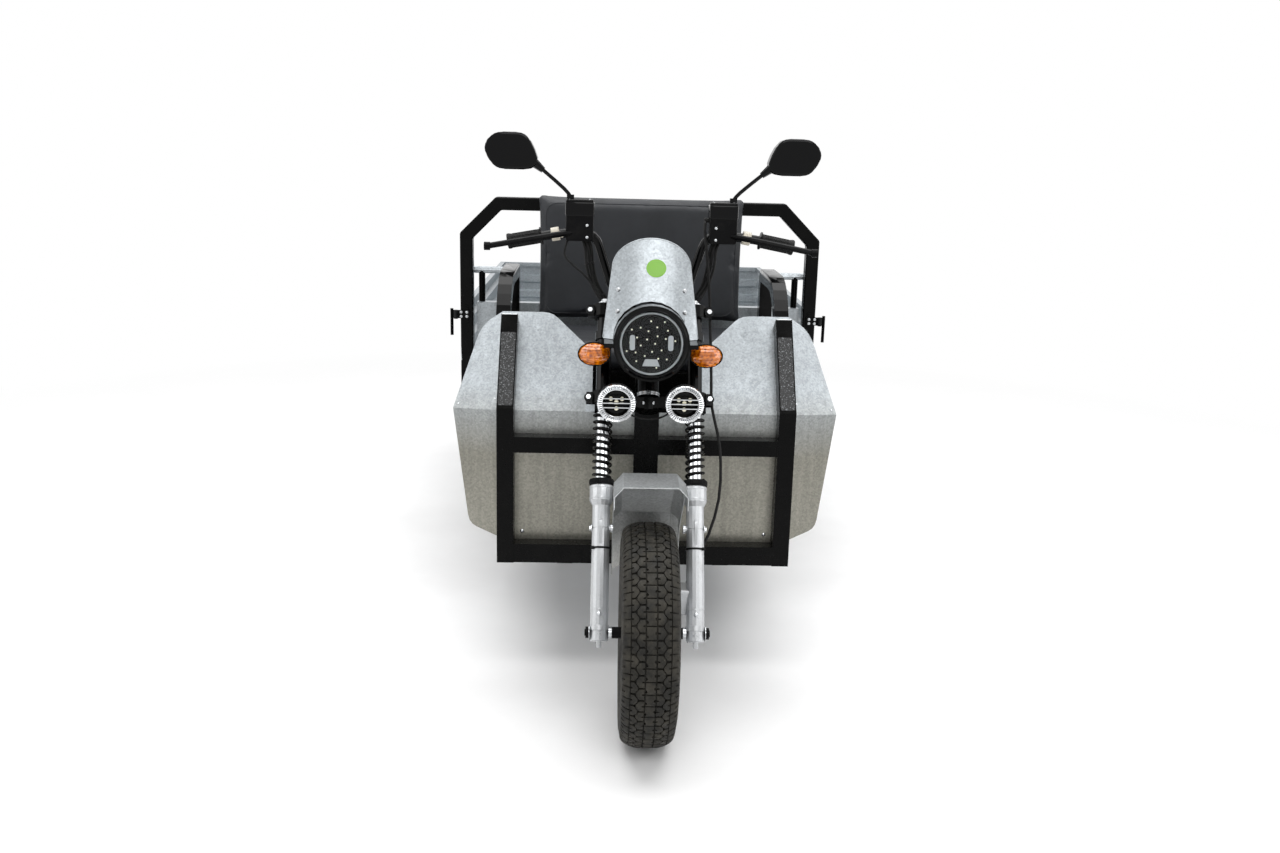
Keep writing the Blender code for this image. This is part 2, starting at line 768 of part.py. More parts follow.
def fork_upper(side):
    """Stanchion, spring collars and the upper tube that the yokes hold, as one turned piece."""
    foot = LEG_TOP - STANCHION_SOCKET + GAP
    seat, top = LEG_TOP + GAP, UPPER_YOKE_AT + YOKE_THICKNESS / 2 + LAP
    spring_top = LOWER_YOKE_AT - YOKE_THICKNESS / 2 - COLLAR_HEIGHT
    profile = [(0, top), (SHROUD_RADIUS, top), (SHROUD_RADIUS, spring_top + COLLAR_HEIGHT - GAP),
               (SPRING_RADIUS, spring_top + COLLAR_HEIGHT - GAP), (SPRING_RADIUS, spring_top),
               (STANCHION_RADIUS, spring_top), (STANCHION_RADIUS, seat + COLLAR_HEIGHT),
               (COLLAR_RADIUS, seat + COLLAR_HEIGHT),
               (COLLAR_RADIUS, seat), (STANCHION_RADIUS, seat), (STANCHION_RADIUS, foot), (0, foot)]
    piece = across_fork(side_name("fork_tube", side), profile, side * FORK_HALF_SPACING, 16)
    return carry(finish(piece, "gloss_black"), STEERING)


def fork_spring(side):
    """A coil round the stanchion, computed turn by turn between the two collars."""
    low = LEG_TOP + GAP * 2 + COLLAR_HEIGHT + SPRING_WIRE
    high = LOWER_YOKE_AT - YOKE_THICKNESS / 2 - COLLAR_HEIGHT - GAP - SPRING_WIRE
    radius = SPRING_RADIUS - SPRING_WIRE
    count = SPRING_TURNS * COIL_STEPS
    points = []
    for step in range(count + 1):
        angle = side * math.tau * step / COIL_STEPS
        points.append(fork_point(side * FORK_HALF_SPACING + radius * math.cos(angle),
                                 radius * math.sin(angle),
                                 low + (high - low) * step / count))
    piece = tube(side_name("fork_spring", side), points, SPRING_WIRE, 1)
    return carry(finish(piece, "gloss_black"), STEERING)


def front_axle():
    """A through bolt with a nut and a spacer at each end."""
    end = FORK_HALF_SPACING + LEG_RADIUS + GAP
    axle = rod("front_axle", AXLE_RADIUS, (-end - AXLE_NUT_LENGTH, 0, TYRE_RADIUS),
               (end + AXLE_NUT_LENGTH, 0, TYRE_RADIUS))
    pieces = []
    for side in (LEFT, RIGHT):
        pieces.append(rod(side_name("axle_nut", side), AXLE_NUT_RADIUS, (side * end, 0, TYRE_RADIUS),
                          (side * (end + AXLE_NUT_LENGTH - LAP), 0, TYRE_RADIUS), 12))
        inside = HUB_LENGTH / 2 + DISC_THICKNESS + GAP * 2
        pieces.append(rod(side_name("axle_spacer", side), AXLE_NUT_RADIUS, (side * inside, 0, TYRE_RADIUS),
                          (side * (FORK_HALF_SPACING - LEG_RADIUS - GAP), 0, TYRE_RADIUS), 12))
    fuse(axle, *pieces)
    return carry(finish(axle, "gloss_black"), STEERING)


def yoke_body(name, along):
    """Two eyes round the fork tubes, a boss round the stem, the web between them and the pinch ears."""
    half = YOKE_THICKNESS / 2
    body = rod(name, YOKE_EYE_RADIUS, fork_point(0, FORK_OFFSET, along - half),
               fork_point(0, FORK_OFFSET, along + half), 16)
    pieces = []
    for side in (LEFT, RIGHT):
        centre = side * FORK_HALF_SPACING
        pieces.append(rod(side_name(name + "_eye", side), YOKE_EYE_RADIUS,
                          fork_point(centre, 0, along - half),
                          fork_point(centre, 0, along + half), 16))
        ear = plate(side_name(name + "_ear", side),
                    [(0, -YOKE_EAR_WIDTH / 2), (side * (YOKE_EYE_RADIUS + YOKE_EAR), -YOKE_EAR_WIDTH / 2),
                    (side * (YOKE_EYE_RADIUS + YOKE_EAR), YOKE_EAR_WIDTH / 2), (0, YOKE_EAR_WIDTH / 2)],
                    YOKE_THICKNESS - LAP, fork_point(centre, 0, along), FORK_TURN)
        web = [(0, FORK_OFFSET - YOKE_WEB / 2), (0, FORK_OFFSET + YOKE_WEB / 2), (centre, YOKE_WEB / 2),
               (centre, -YOKE_WEB / 2)]
        pieces += [ear, plate(side_name(name + "_web", side), web, YOKE_THICKNESS - 2 * LAP,
                              fork_point(0, 0, along), FORK_TURN)]
    return body, pieces


def yoke_bores(name, along):
    reach = YOKE_THICKNESS / 2 + OVERRUN
    return [rod(side_name(name + "_bore", side), SHROUD_RADIUS + GAP,
                fork_point(side * FORK_HALF_SPACING, 0, along - reach),
                fork_point(side * FORK_HALF_SPACING, 0, along + reach), 16) for side in (LEFT, RIGHT)]


def yokes():
    """The lower yoke carries the stem, and the upper yoke is clamped on it under a nut."""
    lower, pieces = yoke_body("lower_yoke", LOWER_YOKE_AT)
    stem_top = STEM_TOP_AT + STEM_NUT_HEIGHT
    pieces.append(rod("steering_stem", STEM_RADIUS, fork_point(0, FORK_OFFSET, LOWER_YOKE_AT),
                      fork_point(0, FORK_OFFSET, stem_top), 20))
    pieces.append(rod("stem_nut", STEM_NUT_RADIUS, fork_point(0, FORK_OFFSET, STEM_TOP_AT),
                      fork_point(0, FORK_OFFSET, stem_top - LAP), 6))
    fuse(lower, *pieces)
    cut(lower, *yoke_bores("lower_yoke", LOWER_YOKE_AT))
    carry(finish(lower, "black_enamel"), STEERING)
    upper, pieces = yoke_body("upper_yoke", UPPER_YOKE_AT)
    reach = YOKE_THICKNESS / 2 + OVERRUN
    for side in (LEFT, RIGHT):
        across, half = side * BAR_CLAMP_X, BAR_CLAMP_WIDTH / 2
        web_middle = FORK_OFFSET * (1 - BAR_CLAMP_X / FORK_HALF_SPACING)
        pieces.append(rod(side_name("bar_riser", side), half - LAP,
                          fork_point(across, web_middle, UPPER_YOKE_AT),
                          (across, BAR_STATION, BAR_Z), 10))
        pieces.append(block(side_name("bar_clamp", side),
                            (across - half, BAR_STATION - BAR_CLAMP_SIZE, BAR_Z - BAR_CLAMP_SIZE),
                            (across + half, BAR_STATION + BAR_CLAMP_SIZE, BAR_Z + BAR_CLAMP_SIZE)))
    fuse(upper, *pieces)
    bores = yoke_bores("upper_yoke", UPPER_YOKE_AT)
    bores.append(rod("stem_bore", STEM_RADIUS + GAP, fork_point(0, FORK_OFFSET, UPPER_YOKE_AT - reach),
                     fork_point(0, FORK_OFFSET, UPPER_YOKE_AT + reach), 20))
    bores.append(bar_tube("bar_bore", BAR_RADIUS + GAP))
    cut(upper, *bores)
    carry(finish(upper, "black_enamel"), STEERING)


def fender_section():
    """Half-width and drop of the folded section: flat top, chamfer, then a side skirt."""
    return [(FENDER_HALF_WIDTH, FENDER_SKIRT), (FENDER_HALF_WIDTH, FENDER_CHAMFER_DROP), (FENDER_HALF_TOP, 0)]


def fender():
    """Flat sheet folded over the wheel in three facets, each with chamfered shoulders and skirts."""
    spine = [(FENDER_FRONT, FENDER_TOP_Z), (FENDER_TOP_BACK, FENDER_TOP_Z), (FENDER_KNEE, FENDER_KNEE_Z),
             (FENDER_HEEL, FENDER_HEEL_Z)]
    inward = Vector((0, TYRE_RADIUS))
    half = fender_section()
    section = [(-across, drop) for across, drop in half] + [(across, drop) for across, drop in reversed(half)]
    bm = bmesh.new()
    rows = []
    for station, height in spine:
        towards = (inward - Vector((station, height))).normalized()
        if station == FENDER_FRONT:
            towards = Vector((0, -1))
        rows.append([bm.verts.new((across, station + towards.x * drop, height + towards.y * drop))
                     for across, drop in section])
    for row, after in zip(rows, rows[1:]):
        for index in range(len(section) - 1):
            bm.faces.new((row[index], row[index + 1], after[index + 1], after[index]))
    bmesh.ops.recalc_face_normals(bm, faces=bm.faces)
    piece = thicken(mesh_object("front_fender", bm), FENDER_SHEET, 0)
    return carry(finish(piece, "galvanised"), STEERING)


# Lamps and cowl

def headlamp():
    """A bowl with a rim and a recessed lens, held by a clamp round each fork tube."""
    inner = LAMP_LENS_RADIUS
    profile = [(0, -LAMP_LENS_INSET), (inner, -LAMP_LENS_INSET), (inner + LAP, 0), (LAMP_RADIUS, 0),
               (LAMP_RADIUS, -LAMP_DEPTH * LAMP_SIDE_SHARE), (LAMP_BACK_RADIUS, -LAMP_DEPTH),
               (0, -LAMP_DEPTH)]
    lamp = turned("headlamp", profile, (0, LAMP_FACE, LAMP_Z), FACING_FRONT, 24)
    pieces, bores = [], []
    for side in (LEFT, RIGHT):
        centre = side * FORK_HALF_SPACING
        low, high = LAMP_BRACKET_ALONG - LAMP_BRACKET / 2, LAMP_BRACKET_ALONG + LAMP_BRACKET / 2
        clamp = fork_point(centre, 0, LAMP_BRACKET_ALONG)
        pieces.append(rod(side_name("lamp_clamp", side), SHROUD_RADIUS + LAMP_CLAMP_WALL,
                          fork_point(centre, 0, low),
                          fork_point(centre, 0, high), 16))
        arm_low = (min(centre, side * LAMP_LENS_RADIUS), LAMP_FACE + LAMP_LENS_INSET,
                   clamp[2] - LAMP_BRACKET * LAMP_ARM_SHARE)
        arm_high = (max(centre, side * LAMP_LENS_RADIUS), clamp[1], clamp[2] + LAMP_BRACKET * LAMP_ARM_SHARE)
        pieces.append(block(side_name("lamp_arm", side), arm_low, arm_high))
        bores.append(rod(side_name("lamp_clamp_bore", side), SHROUD_RADIUS + GAP,
                         fork_point(centre, 0, low - LAMP_BRACKET),
                         fork_point(centre, 0, high + LAMP_BRACKET), 16))
    fuse(lamp, *pieces)
    cut(lamp, *bores)
    return carry(finish(lamp, "black_enamel"), STEERING)


def indicator(side):
    """An oval lens on a short stalk that ends on the headlamp's arm."""
    centre = (side * INDICATOR_X, INDICATOR_FACE + INDICATOR_DEPTH / 2, INDICATOR_Z)
    bm = bmesh.new()
    bmesh.ops.create_uvsphere(bm, u_segments=12, v_segments=6, radius=HALF_SHARE)
    bmesh.ops.scale(bm, vec=(INDICATOR_WIDTH, INDICATOR_DEPTH, INDICATOR_HEIGHT), verts=bm.verts)
    piece = mesh_object(side_name("indicator", side), bm, centre)
    shade_round(piece)
    clamp = fork_point(side * FORK_HALF_SPACING, 0, LAMP_BRACKET_ALONG)
    stalk_top = clamp[2] - LAMP_BRACKET * LAMP_ARM_SHARE - GAP
    foot = (side * (FORK_HALF_SPACING - INDICATOR_STALK), INDICATOR_FACE + INDICATOR_DEPTH / 2, stalk_top)
    stalk = rod(piece.name + "_stalk", INDICATOR_STALK, (foot[0], foot[1], INDICATOR_Z), foot, 10)
    fuse(piece, stalk)
    return carry(finish(piece, "amber"), STEERING)


def fog_lamp(side):
    """A chrome bowl with bars across its mouth, on a bracket that bolts to the lower yoke."""
    mouth = FOG_RADIUS * FOG_MOUTH_SHARE
    floor = FOG_DEPTH * FOG_FLOOR_SHARE
    profile = [(0, -floor), (mouth, -floor), (mouth, -FOG_DEPTH * FOG_LIP_SHARE), (FOG_RADIUS - LAP, 0),
               (FOG_RADIUS, -LAP),
               (FOG_RADIUS, -FOG_DEPTH * FOG_SIDE_SHARE), (mouth, -FOG_DEPTH), (0, -FOG_DEPTH)]
    lamp = turned(side_name("fog_lamp", side), profile, (side * FOG_X, FOG_FACE, FOG_Z), FACING_FRONT, 18)
    pieces = []
    for index in range(FOG_BARS):
        rise = (index - (FOG_BARS - 1) / 2) * mouth / FOG_BARS
        reach = math.sqrt((mouth + LAP) ** 2 - rise ** 2)
        pieces.append(rod(f"{lamp.name}_bar_{index}", FOG_BAR_RADIUS,
                          (side * FOG_X - reach, FOG_FACE + FOG_DEPTH * FOG_BAR_SHARE, FOG_Z + rise),
                          (side * FOG_X + reach, FOG_FACE + FOG_DEPTH * FOG_BAR_SHARE, FOG_Z + rise), 6))
    front = fork_point(side * FOG_X,
                       FORK_OFFSET * (1 - FOG_X / FORK_HALF_SPACING) - YOKE_WEB * FOG_STEM_SHARE,
                       LOWER_YOKE_AT)
    pieces.append(rod(lamp.name + "_stem", STANCHION_RADIUS / 2,
                      (front[0], FOG_FACE + FOG_DEPTH - LAP, FOG_Z),
                      (front[0], front[1], front[2]), 10))
    fuse(lamp, *pieces)
    outline = [(0, FORK_OFFSET - YOKE_WEB / 2 - GAP), (0, FORK_OFFSET), (side * FORK_HALF_SPACING, 0),
               (side * FORK_HALF_SPACING, -YOKE_WEB / 2 - GAP)]
    centre = side * FORK_HALF_SPACING
    eye = rod(lamp.name + "_eye", YOKE_EYE_RADIUS + GAP,
              fork_point(centre, 0, LOWER_YOKE_AT - YOKE_THICKNESS),
              fork_point(centre, 0, LOWER_YOKE_AT + YOKE_THICKNESS), 16)
    cut(lamp, eye, plate(lamp.name + "_seat", outline, YOKE_THICKNESS * 2, fork_point(0, 0, LOWER_YOKE_AT),
                         FORK_TURN))
    return carry(finish(lamp, "chrome"), STEERING)


def cowl_half_width(height):
    """Half the cowl's width: a slight taper up to the neck, then a round crown."""
    if height <= COWL_NECK_Z:
        share = (height - COWL_BOTTOM_Z) / (COWL_NECK_Z - COWL_BOTTOM_Z)
        return COWL_HALF_WIDTH + (COWL_NECK_HALF_WIDTH - COWL_HALF_WIDTH) * share
    rise = (height - COWL_NECK_Z) / (COWL_TOP_Z - COWL_NECK_Z)
    return COWL_NECK_HALF_WIDTH * math.sqrt(max(0, 1 - rise ** 2))


def cowl_station(across, height):
    """How far back the sheet lies: it leans back as it rises and curves back to both sides."""
    share = min(1, abs(across) / COWL_HALF_WIDTH)
    bulge = COWL_BULGE * math.sqrt(1 - (share * COWL_ROUND_SHARE) ** 2)
    return COWL_STATION - bulge + COWL_LEAN * (height - COWL_BOTTOM_Z)


def cowl():
    """A curved sheet over the headlamp, cut round the lamp's bowl."""
    levels = [COWL_BOTTOM_Z + (COWL_NECK_Z - COWL_BOTTOM_Z) * row / COWL_ROWS for row in range(COWL_ROWS)]
    for row in range(COWL_CROWN_ROWS):
        turn = math.pi / 2 * row / COWL_CROWN_ROWS
        levels.append(COWL_NECK_Z + (COWL_TOP_Z - COWL_NECK_Z) * math.sin(turn))
    levels.append(COWL_TOP_Z - COWL_SHEET)
    bm = bmesh.new()
    rows = []
    for height in levels:
        half = cowl_half_width(height)
        row = []
        for column in range(COWL_COLUMNS + 1):
            across = half * (2 * column / COWL_COLUMNS - 1)
            row.append(bm.verts.new((across, cowl_station(across, height), height)))
        rows.append(row)
    for row, after in zip(rows, rows[1:]):
        for column in range(COWL_COLUMNS):
            bm.faces.new((row[column], row[column + 1], after[column + 1], after[column]))
    piece = thicken(mesh_object("cowl", bm), COWL_SHEET)
    shade_round(piece)
    mouth = rod("cowl_mouth", LAMP_RADIUS + GAP, (0, LAMP_FACE - LAMP_RADIUS, LAMP_Z),
                (0, LAMP_FACE + LAMP_RADIUS * 2, LAMP_Z), 24)
    cut(piece, mouth)
    return carry(finish(piece, "galvanised"), STEERING)


# Handlebar

def bar_path(side):
    """One half of the bar, from its middle out to the end of the grip."""
    return [(side * BAR_LOW_HALF, BAR_STATION, BAR_Z),
            (side * BAR_RISE_X, GRIP_STATION, BAR_RISE_Z),
            (side * GRIP_START_X, GRIP_STATION, GRIP_START_Z),
            (side * GRIP_END_X, GRIP_STATION, GRIP_END_Z)]


def on_grip(side, across, radius_out=0.0):
    """A point on the straight stretch that carries the controls and the grip."""
    share = (across - BAR_RISE_X) / (GRIP_START_X - BAR_RISE_X)
    height = BAR_RISE_Z + (GRIP_START_Z - BAR_RISE_Z) * share
    if across > GRIP_START_X:
        share = (across - GRIP_START_X) / (GRIP_END_X - GRIP_START_X)
        height = GRIP_START_Z + (GRIP_END_Z - GRIP_START_Z) * share
    return Vector((side * across, GRIP_STATION, height + radius_out))


def bar_tube(name, radius):
    path = list(reversed(bar_path(RIGHT))) + bar_path(LEFT)
    return tube(name, filleted(path, BAR_BEND, 4), radius)


def handlebar():
    bar = bar_tube("handlebar", BAR_RADIUS)
    pieces = []
    for side in (LEFT, RIGHT):
        start, end = on_grip(side, GRIP_START_X + GRIP_FLANGE), on_grip(side, GRIP_END_X)
        pieces.append(rod(side_name("grip", side), GRIP_RADIUS, start, end, 12))
        pieces.append(rod(side_name("grip_flange", side), GRIP_FLANGE,
                          on_grip(side, GRIP_START_X + GRIP_FLANGE - LAP),
                          on_grip(side, GRIP_START_X + GRIP_FLANGE + LAP), 12))
    fuse(bar, *pieces)
    return carry(finish(bar, "black_enamel"), STEERING)


def hand_control(side):
    """Switch box and brake cylinder clamped on the bar, with the lever in front of the grip."""
    middle = on_grip(side, CONTROL_X)
    low = (middle.x - CONTROL_HALF, middle.y - CONTROL_DEPTH / 2,
           middle.z - CONTROL_HEIGHT * (1 - CONTROL_ABOVE_SHARE))
    high = (middle.x + CONTROL_HALF, middle.y + CONTROL_DEPTH / 2,
            middle.z + CONTROL_HEIGHT * CONTROL_ABOVE_SHARE)
    box = block(side_name("hand_control", side), low, high)
    round_edges(box, CALIPER_ROUND)
    root = Vector((side * (CONTROL_X + CONTROL_HALF / 2), GRIP_STATION - CONTROL_DEPTH * LEVER_ROOT_SHARE,
                   middle.z))
    knee = on_grip(side, GRIP_START_X) + Vector((0, -LEVER_AHEAD, 0))
    tip = on_grip(side, LEVER_TIP_X) + Vector((0, -LEVER_AHEAD, 0))
    lever = tube(box.name + "_lever", filleted([root, knee, tip], BAR_BEND, 3), LEVER_RADIUS)
    ball = rod(box.name + "_lever_end", LEVER_RADIUS * LEVER_BALL_SHARE,
               tip - Vector((side * LEVER_RADIUS, 0, 0)),
               tip + Vector((side * LEVER_RADIUS, 0, 0)), 10)
    fuse(box, lever, ball)
    cut(box, bar_tube(box.name + "_bore", BAR_RADIUS + GAP))
    return carry(finish(box, "black_enamel"), STEERING)


def mirror_outline(side):
    """A rounded rhombic head, seen from the front, with its pointed end outside."""
    corners = [(across * MIRROR_WIDTH / 2, up * MIRROR_HEIGHT / 2, 0) for across, up in MIRROR_CORNER_SHARES]
    return [(side * across, up) for across, up, _ in filleted(corners, MIRROR_CORNER, 2, True)]


def mirror(side):
    """A mirror head with rounded edges and a tapered neck, on a stem that stands on the control box."""
    head = plate(side_name("mirror", side), mirror_outline(side), MIRROR_DEPTH,
                 (side * MIRROR_X, GRIP_STATION, MIRROR_Z), FRONT_VIEW)
    round_edges(head, MIRROR_DEPTH * MIRROR_ROUND_SHARE, 1)
    box_top = on_grip(side, CONTROL_X).z + CONTROL_HEIGHT * CONTROL_ABOVE_SHARE + GAP
    stem_x = CONTROL_X + CONTROL_HALF - 2 * MIRROR_STEM_RADIUS
    neck = (side * MIRROR_NECK_X, GRIP_STATION, MIRROR_NECK_Z)
    path = [(side * stem_x, GRIP_STATION, box_top + MIRROR_STEM_RADIUS),
            (side * MIRROR_STEM_X, GRIP_STATION, MIRROR_STEM_BEND_Z), neck]
    stem = tube(head.name + "_stem", filleted(path, BAR_BEND, 2), MIRROR_STEM_RADIUS, 1)
    boot = rod(head.name + "_boot", MIRROR_STEM_RADIUS + LAP,
               (side * (MIRROR_NECK_X - LAP), GRIP_STATION, MIRROR_NECK_Z - LAP),
               (side * (MIRROR_X - MIRROR_WIDTH * MIRROR_BOOT_SHARE), GRIP_STATION, MIRROR_Z - MIRROR_CORNER),
               8, MIRROR_DEPTH * MIRROR_ROUND_SHARE)
    foot = rod(head.name + "_foot", 2 * MIRROR_STEM_RADIUS, (side * stem_x, GRIP_STATION, box_top),
               (side * stem_x, GRIP_STATION, box_top + 2 * MIRROR_STEM_RADIUS), 6)
    fuse(head, stem, boot, foot)
    return carry(finish(head, "gloss_black"), STEERING)


def brake_hose():
    """The hose from the left control box down beside the fork to the caliper, held at both ends."""
    caliper_back = (FORK_HALF_SPACING - LEG_RADIUS, CALIPER_BEHIND + CALIPER_DEPTH + GAP,
                    TYRE_RADIUS + CALIPER_LIFT + CALIPER_HEIGHT / 2)
    box = on_grip(LEFT, CONTROL_X - CONTROL_HALF)
    start = (box.x - GAP, box.y, box.z + CONTROL_HEIGHT * HOSE_START_SHARE)
    lead, end = Vector((HOSE_FERRULE, 0, 0)), Vector(caliper_back)
    tail = Vector((0, HOSE_FERRULE, 0))
    start = Vector(start)
    points = [start - lead, *HOSE_ROUTE, end + tail]
    hose = tube("brake_hose", smooth_route(points, HOSE_STEPS), HOSE_RADIUS, 1)
    fuse(hose, rod("hose_ferrule_top", HOSE_RADIUS + LAP, start, start - lead * 3 / 2, 8),
         rod("hose_ferrule_low", HOSE_RADIUS + LAP, end, end + tail * 3 / 2, 8))
    return carry(finish(hose, "rubber"), STEERING)


def smooth_route(points, steps):
    """A smooth curve through a route's points."""
    points = [Vector(point) for point in points]
    padded = [points[0] * 2 - points[1]] + points + [points[-1] * 2 - points[-2]]
    smooth = []
    for before, start, end, after in zip(padded, padded[1:], padded[2:], padded[3:]):
        for step in range(steps):
            share = step / steps
            smooth.append(((start * 2) + (end - before) * share
                           + (before * 2 - start * 5 + end * 4 - after) * share ** 2
                           + (start * 3 - before - end * 3 + after) * share ** 3) / 2)
    smooth.append(points[-1])
    return smooth


# Front frame and leg shield

def shield_upright_outline():
    """Side view of one square tube: upright below the fold and leaning back above it."""
    tube_depth, lean = SHIELD_TUBE, SHIELD_LEAN
    back_fold = SHIELD_FOLD_Z - tube_depth * math.tan(lean / 2)
    top = (SHIELD_FACE + SHIELD_TOP_SETBACK, SHIELD_TOP_Z)
    return [(SHIELD_FACE, SHIELD_BOTTOM_Z), (SHIELD_FACE, SHIELD_FOLD_Z), top,
            (top[0] + tube_depth * math.cos(lean), top[1] - tube_depth * math.sin(lean)),
            (SHIELD_FACE + tube_depth, back_fold), (SHIELD_FACE + tube_depth, SHIELD_BOTTOM_Z)]


def head_point(along, behind=0.0):
    return fork_point(0, FORK_OFFSET + behind, along)


def front_frame():
    """Centre post with the head tube, and the square tubes of the leg shield, welded together."""
    back = SHIELD_FACE + SHIELD_TUBE
    inner = SHIELD_HALF_WIDTH - SHIELD_TUBE
    post_top = head_point(HEAD_TOP_AT)[2] - POST_TOP_DROP
    post = block("front_frame", (-POST_WIDTH / 2, SHIELD_FACE, SHIELD_BOTTOM_Z),
                 (POST_WIDTH / 2, back, post_top))
    pieces = []
    for side in (LEFT, RIGHT):
        pieces.append(plate(side_name("shield_upright", side), shield_upright_outline(), SHIELD_TUBE,
                            (side * (SHIELD_HALF_WIDTH - SHIELD_TUBE / 2), 0, 0), SIDE_VIEW))
    for name, low, high in (("shield_bottom_tube", SHIELD_BOTTOM_Z, SHIELD_BOTTOM_Z + SHIELD_FOOT_HEIGHT),
                            ("shield_cross_tube", SHIELD_CROSS_Z, SHIELD_CROSS_Z + SHIELD_CROSS_HEIGHT)):
        pieces.append(block(name, (-inner - LAP, SHIELD_FACE + TUBE_INSET, low + TUBE_INSET),
                            (inner + LAP, back, high)))
    head = rod("head_tube", HEAD_TUBE_RADIUS, head_point(HEAD_BOTTOM_AT), head_point(HEAD_TOP_AT), 24)
    foot = head_point(HEAD_BOTTOM_AT + GUSSET_SETBACK)
    crown = head_point(HEAD_TOP_AT - GUSSET_SETBACK)
    gusset = plate("head_gusset", [(SHIELD_FACE + LAP, foot[2] - GUSSET_DROP), foot[1:], crown[1:],
                                   (SHIELD_FACE + LAP, crown[2])], GUSSET_THICKNESS, (0, 0, 0), SIDE_VIEW)
    fuse(post, *pieces, head, gusset)
    cut(post, rod("head_bore", STEM_RADIUS + GAP, head_point(HEAD_BOTTOM_AT - OVERRUN),
                  head_point(HEAD_TOP_AT + OVERRUN), 20))
    return finish(post, "black_enamel")


def slope_point(across, up):
    """A point on the sheet's sloping plane, by its distance up from the fold."""
    fold_z = SHIELD_FOLD_Z - (SHIELD_TUBE + GAP) * math.tan(SHIELD_LEAN / 2)
    return Vector((across, SHEET_FACE + up * math.sin(SHIELD_LEAN), fold_z + up * math.cos(SHIELD_LEAN)))


def wing_plane_station(across, height, corner):
    """Where the upper wing's plane lies; it holds the sheet's edge line and the wing's outer corner."""
    fold = slope_point(SHIELD_HALF_WIDTH, 0)
    edge = slope_point(SHIELD_HALF_WIDTH, 1) - fold
    normal = edge.cross(corner - fold)
    return fold.y - (normal.x * (across - fold.x) + normal.z * (height - fold.z)) / normal.y


def sheet_facets():
    """The four flat fields of the left sheet: lower and upper panel, lower and upper wing."""
    edge = SHIELD_HALF_WIDTH
    fold = slope_point(edge, 0)
    top_up = UPPER_PANEL_HEIGHT
    corner = Vector((edge + WING_REACH, SHEET_FACE + WING_SWEEP, WING_CORNER_Z))
    foot = Vector((edge + WING_FOOT_REACH, SHEET_FACE + WING_SWEEP * WING_FOOT_REACH / WING_REACH,
                   WING_FOOT_Z))
    heel = Vector((edge, SHEET_FACE, WING_HEEL_Z))
    lower = [Vector((SHEET_SEAM, SHEET_FACE, FLOOR_TOP + GAP)),
             Vector((edge, SHEET_FACE, FLOOR_TOP + GAP)), heel, fold,
             slope_point(UPPER_PANEL_INNER, 0), Vector((SHEET_SEAM, SHEET_FACE, fold.z))]
    top_z = slope_point(edge, top_up).z
    shoulder = Vector((edge + WING_TOP_SHOULDER, 0, top_z - WING_TOP_DROP))
    shoulder.y = wing_plane_station(shoulder.x, shoulder.z, corner)
    panel = [slope_point(UPPER_PANEL_INNER, 0), fold, slope_point(edge, top_up)]
    chamfer = [(UPPER_PANEL_INNER + UPPER_PANEL_CHAMFER, top_up, 0),
               (UPPER_PANEL_INNER, top_up - UPPER_PANEL_CHAMFER_DROP, 0)]
    rounded = filleted([(edge, top_up, 0), *chamfer, (UPPER_PANEL_INNER, 0, 0)], SHEET_CORNER, 3)[1:-1]
    panel += [slope_point(across, up) for across, up, _ in rounded]
    upper_wing = [fold, corner, *[Vector(p) for p in filleted([corner, shoulder, slope_point(edge, top_up)],
                                                              SHEET_CORNER * 2, 4)[1:-1]],
                  slope_point(edge, top_up)]
    lower_wing = [heel, *[Vector(p) for p in filleted([heel, foot, corner], SHEET_CORNER, 3)[1:-1]],
                  corner, fold]
    return [lower, panel, upper_wing, lower_wing]


def shield_sheet(side):
    """Galvanised sheet behind the tubes, folded at the tube and swept back as a wing outside it."""
    bm = bmesh.new()
    for facet in sheet_facets():
        bm.faces.new([bm.verts.new((side * point[0], point[1], point[2])) for point in facet])
    bmesh.ops.remove_doubles(bm, verts=bm.verts, dist=SHEET * WELD_SHARE)
    bmesh.ops.recalc_face_normals(bm, faces=bm.faces)
    front = [face for face in bm.faces if face.normal.y > 0]
    if len(front) > 2:
        bmesh.ops.reverse_faces(bm, faces=bm.faces)
    piece = thicken(mesh_object(side_name("shield_sheet", side), bm), SHEET, -1)
    return finish(piece, "galvanised")


# Chassis

def rail_outline():
    """Side view of a rail: low under the floor, a riser behind the seat, high under the bed."""
    low, high, depth = LOW_RAIL_TOP, HIGH_RAIL_TOP, RAIL_HEIGHT
    mitre = depth * math.tan(math.atan2(high - low, RISER_RUN) / 2)
    end = RISER_START + RISER_RUN
    start = RAIL_FRONT
    return [(start, low - depth), (RISER_START, low - depth), (end, high - depth), (RAIL_END, high - depth),
            (RAIL_END, high), (end - mitre, high), (RISER_START - mitre, low), (start, low)]


def leaf_height(along):
    """Middle height of the main leaf at a distance from the axle; it lies flat on the spring seat."""
    flat = SEAT_PAD / 2
    share = max(0, abs(along) - flat) / (LEAF_HALF_SPAN - flat)
    base = TYRE_RADIUS + AXLE_TUBE_RADIUS + SPRING_SEAT + GAP + LEAF_THICKNESS * (LEAF_COUNT - 0.5)
    return base + LEAF_RISE * share ** 2


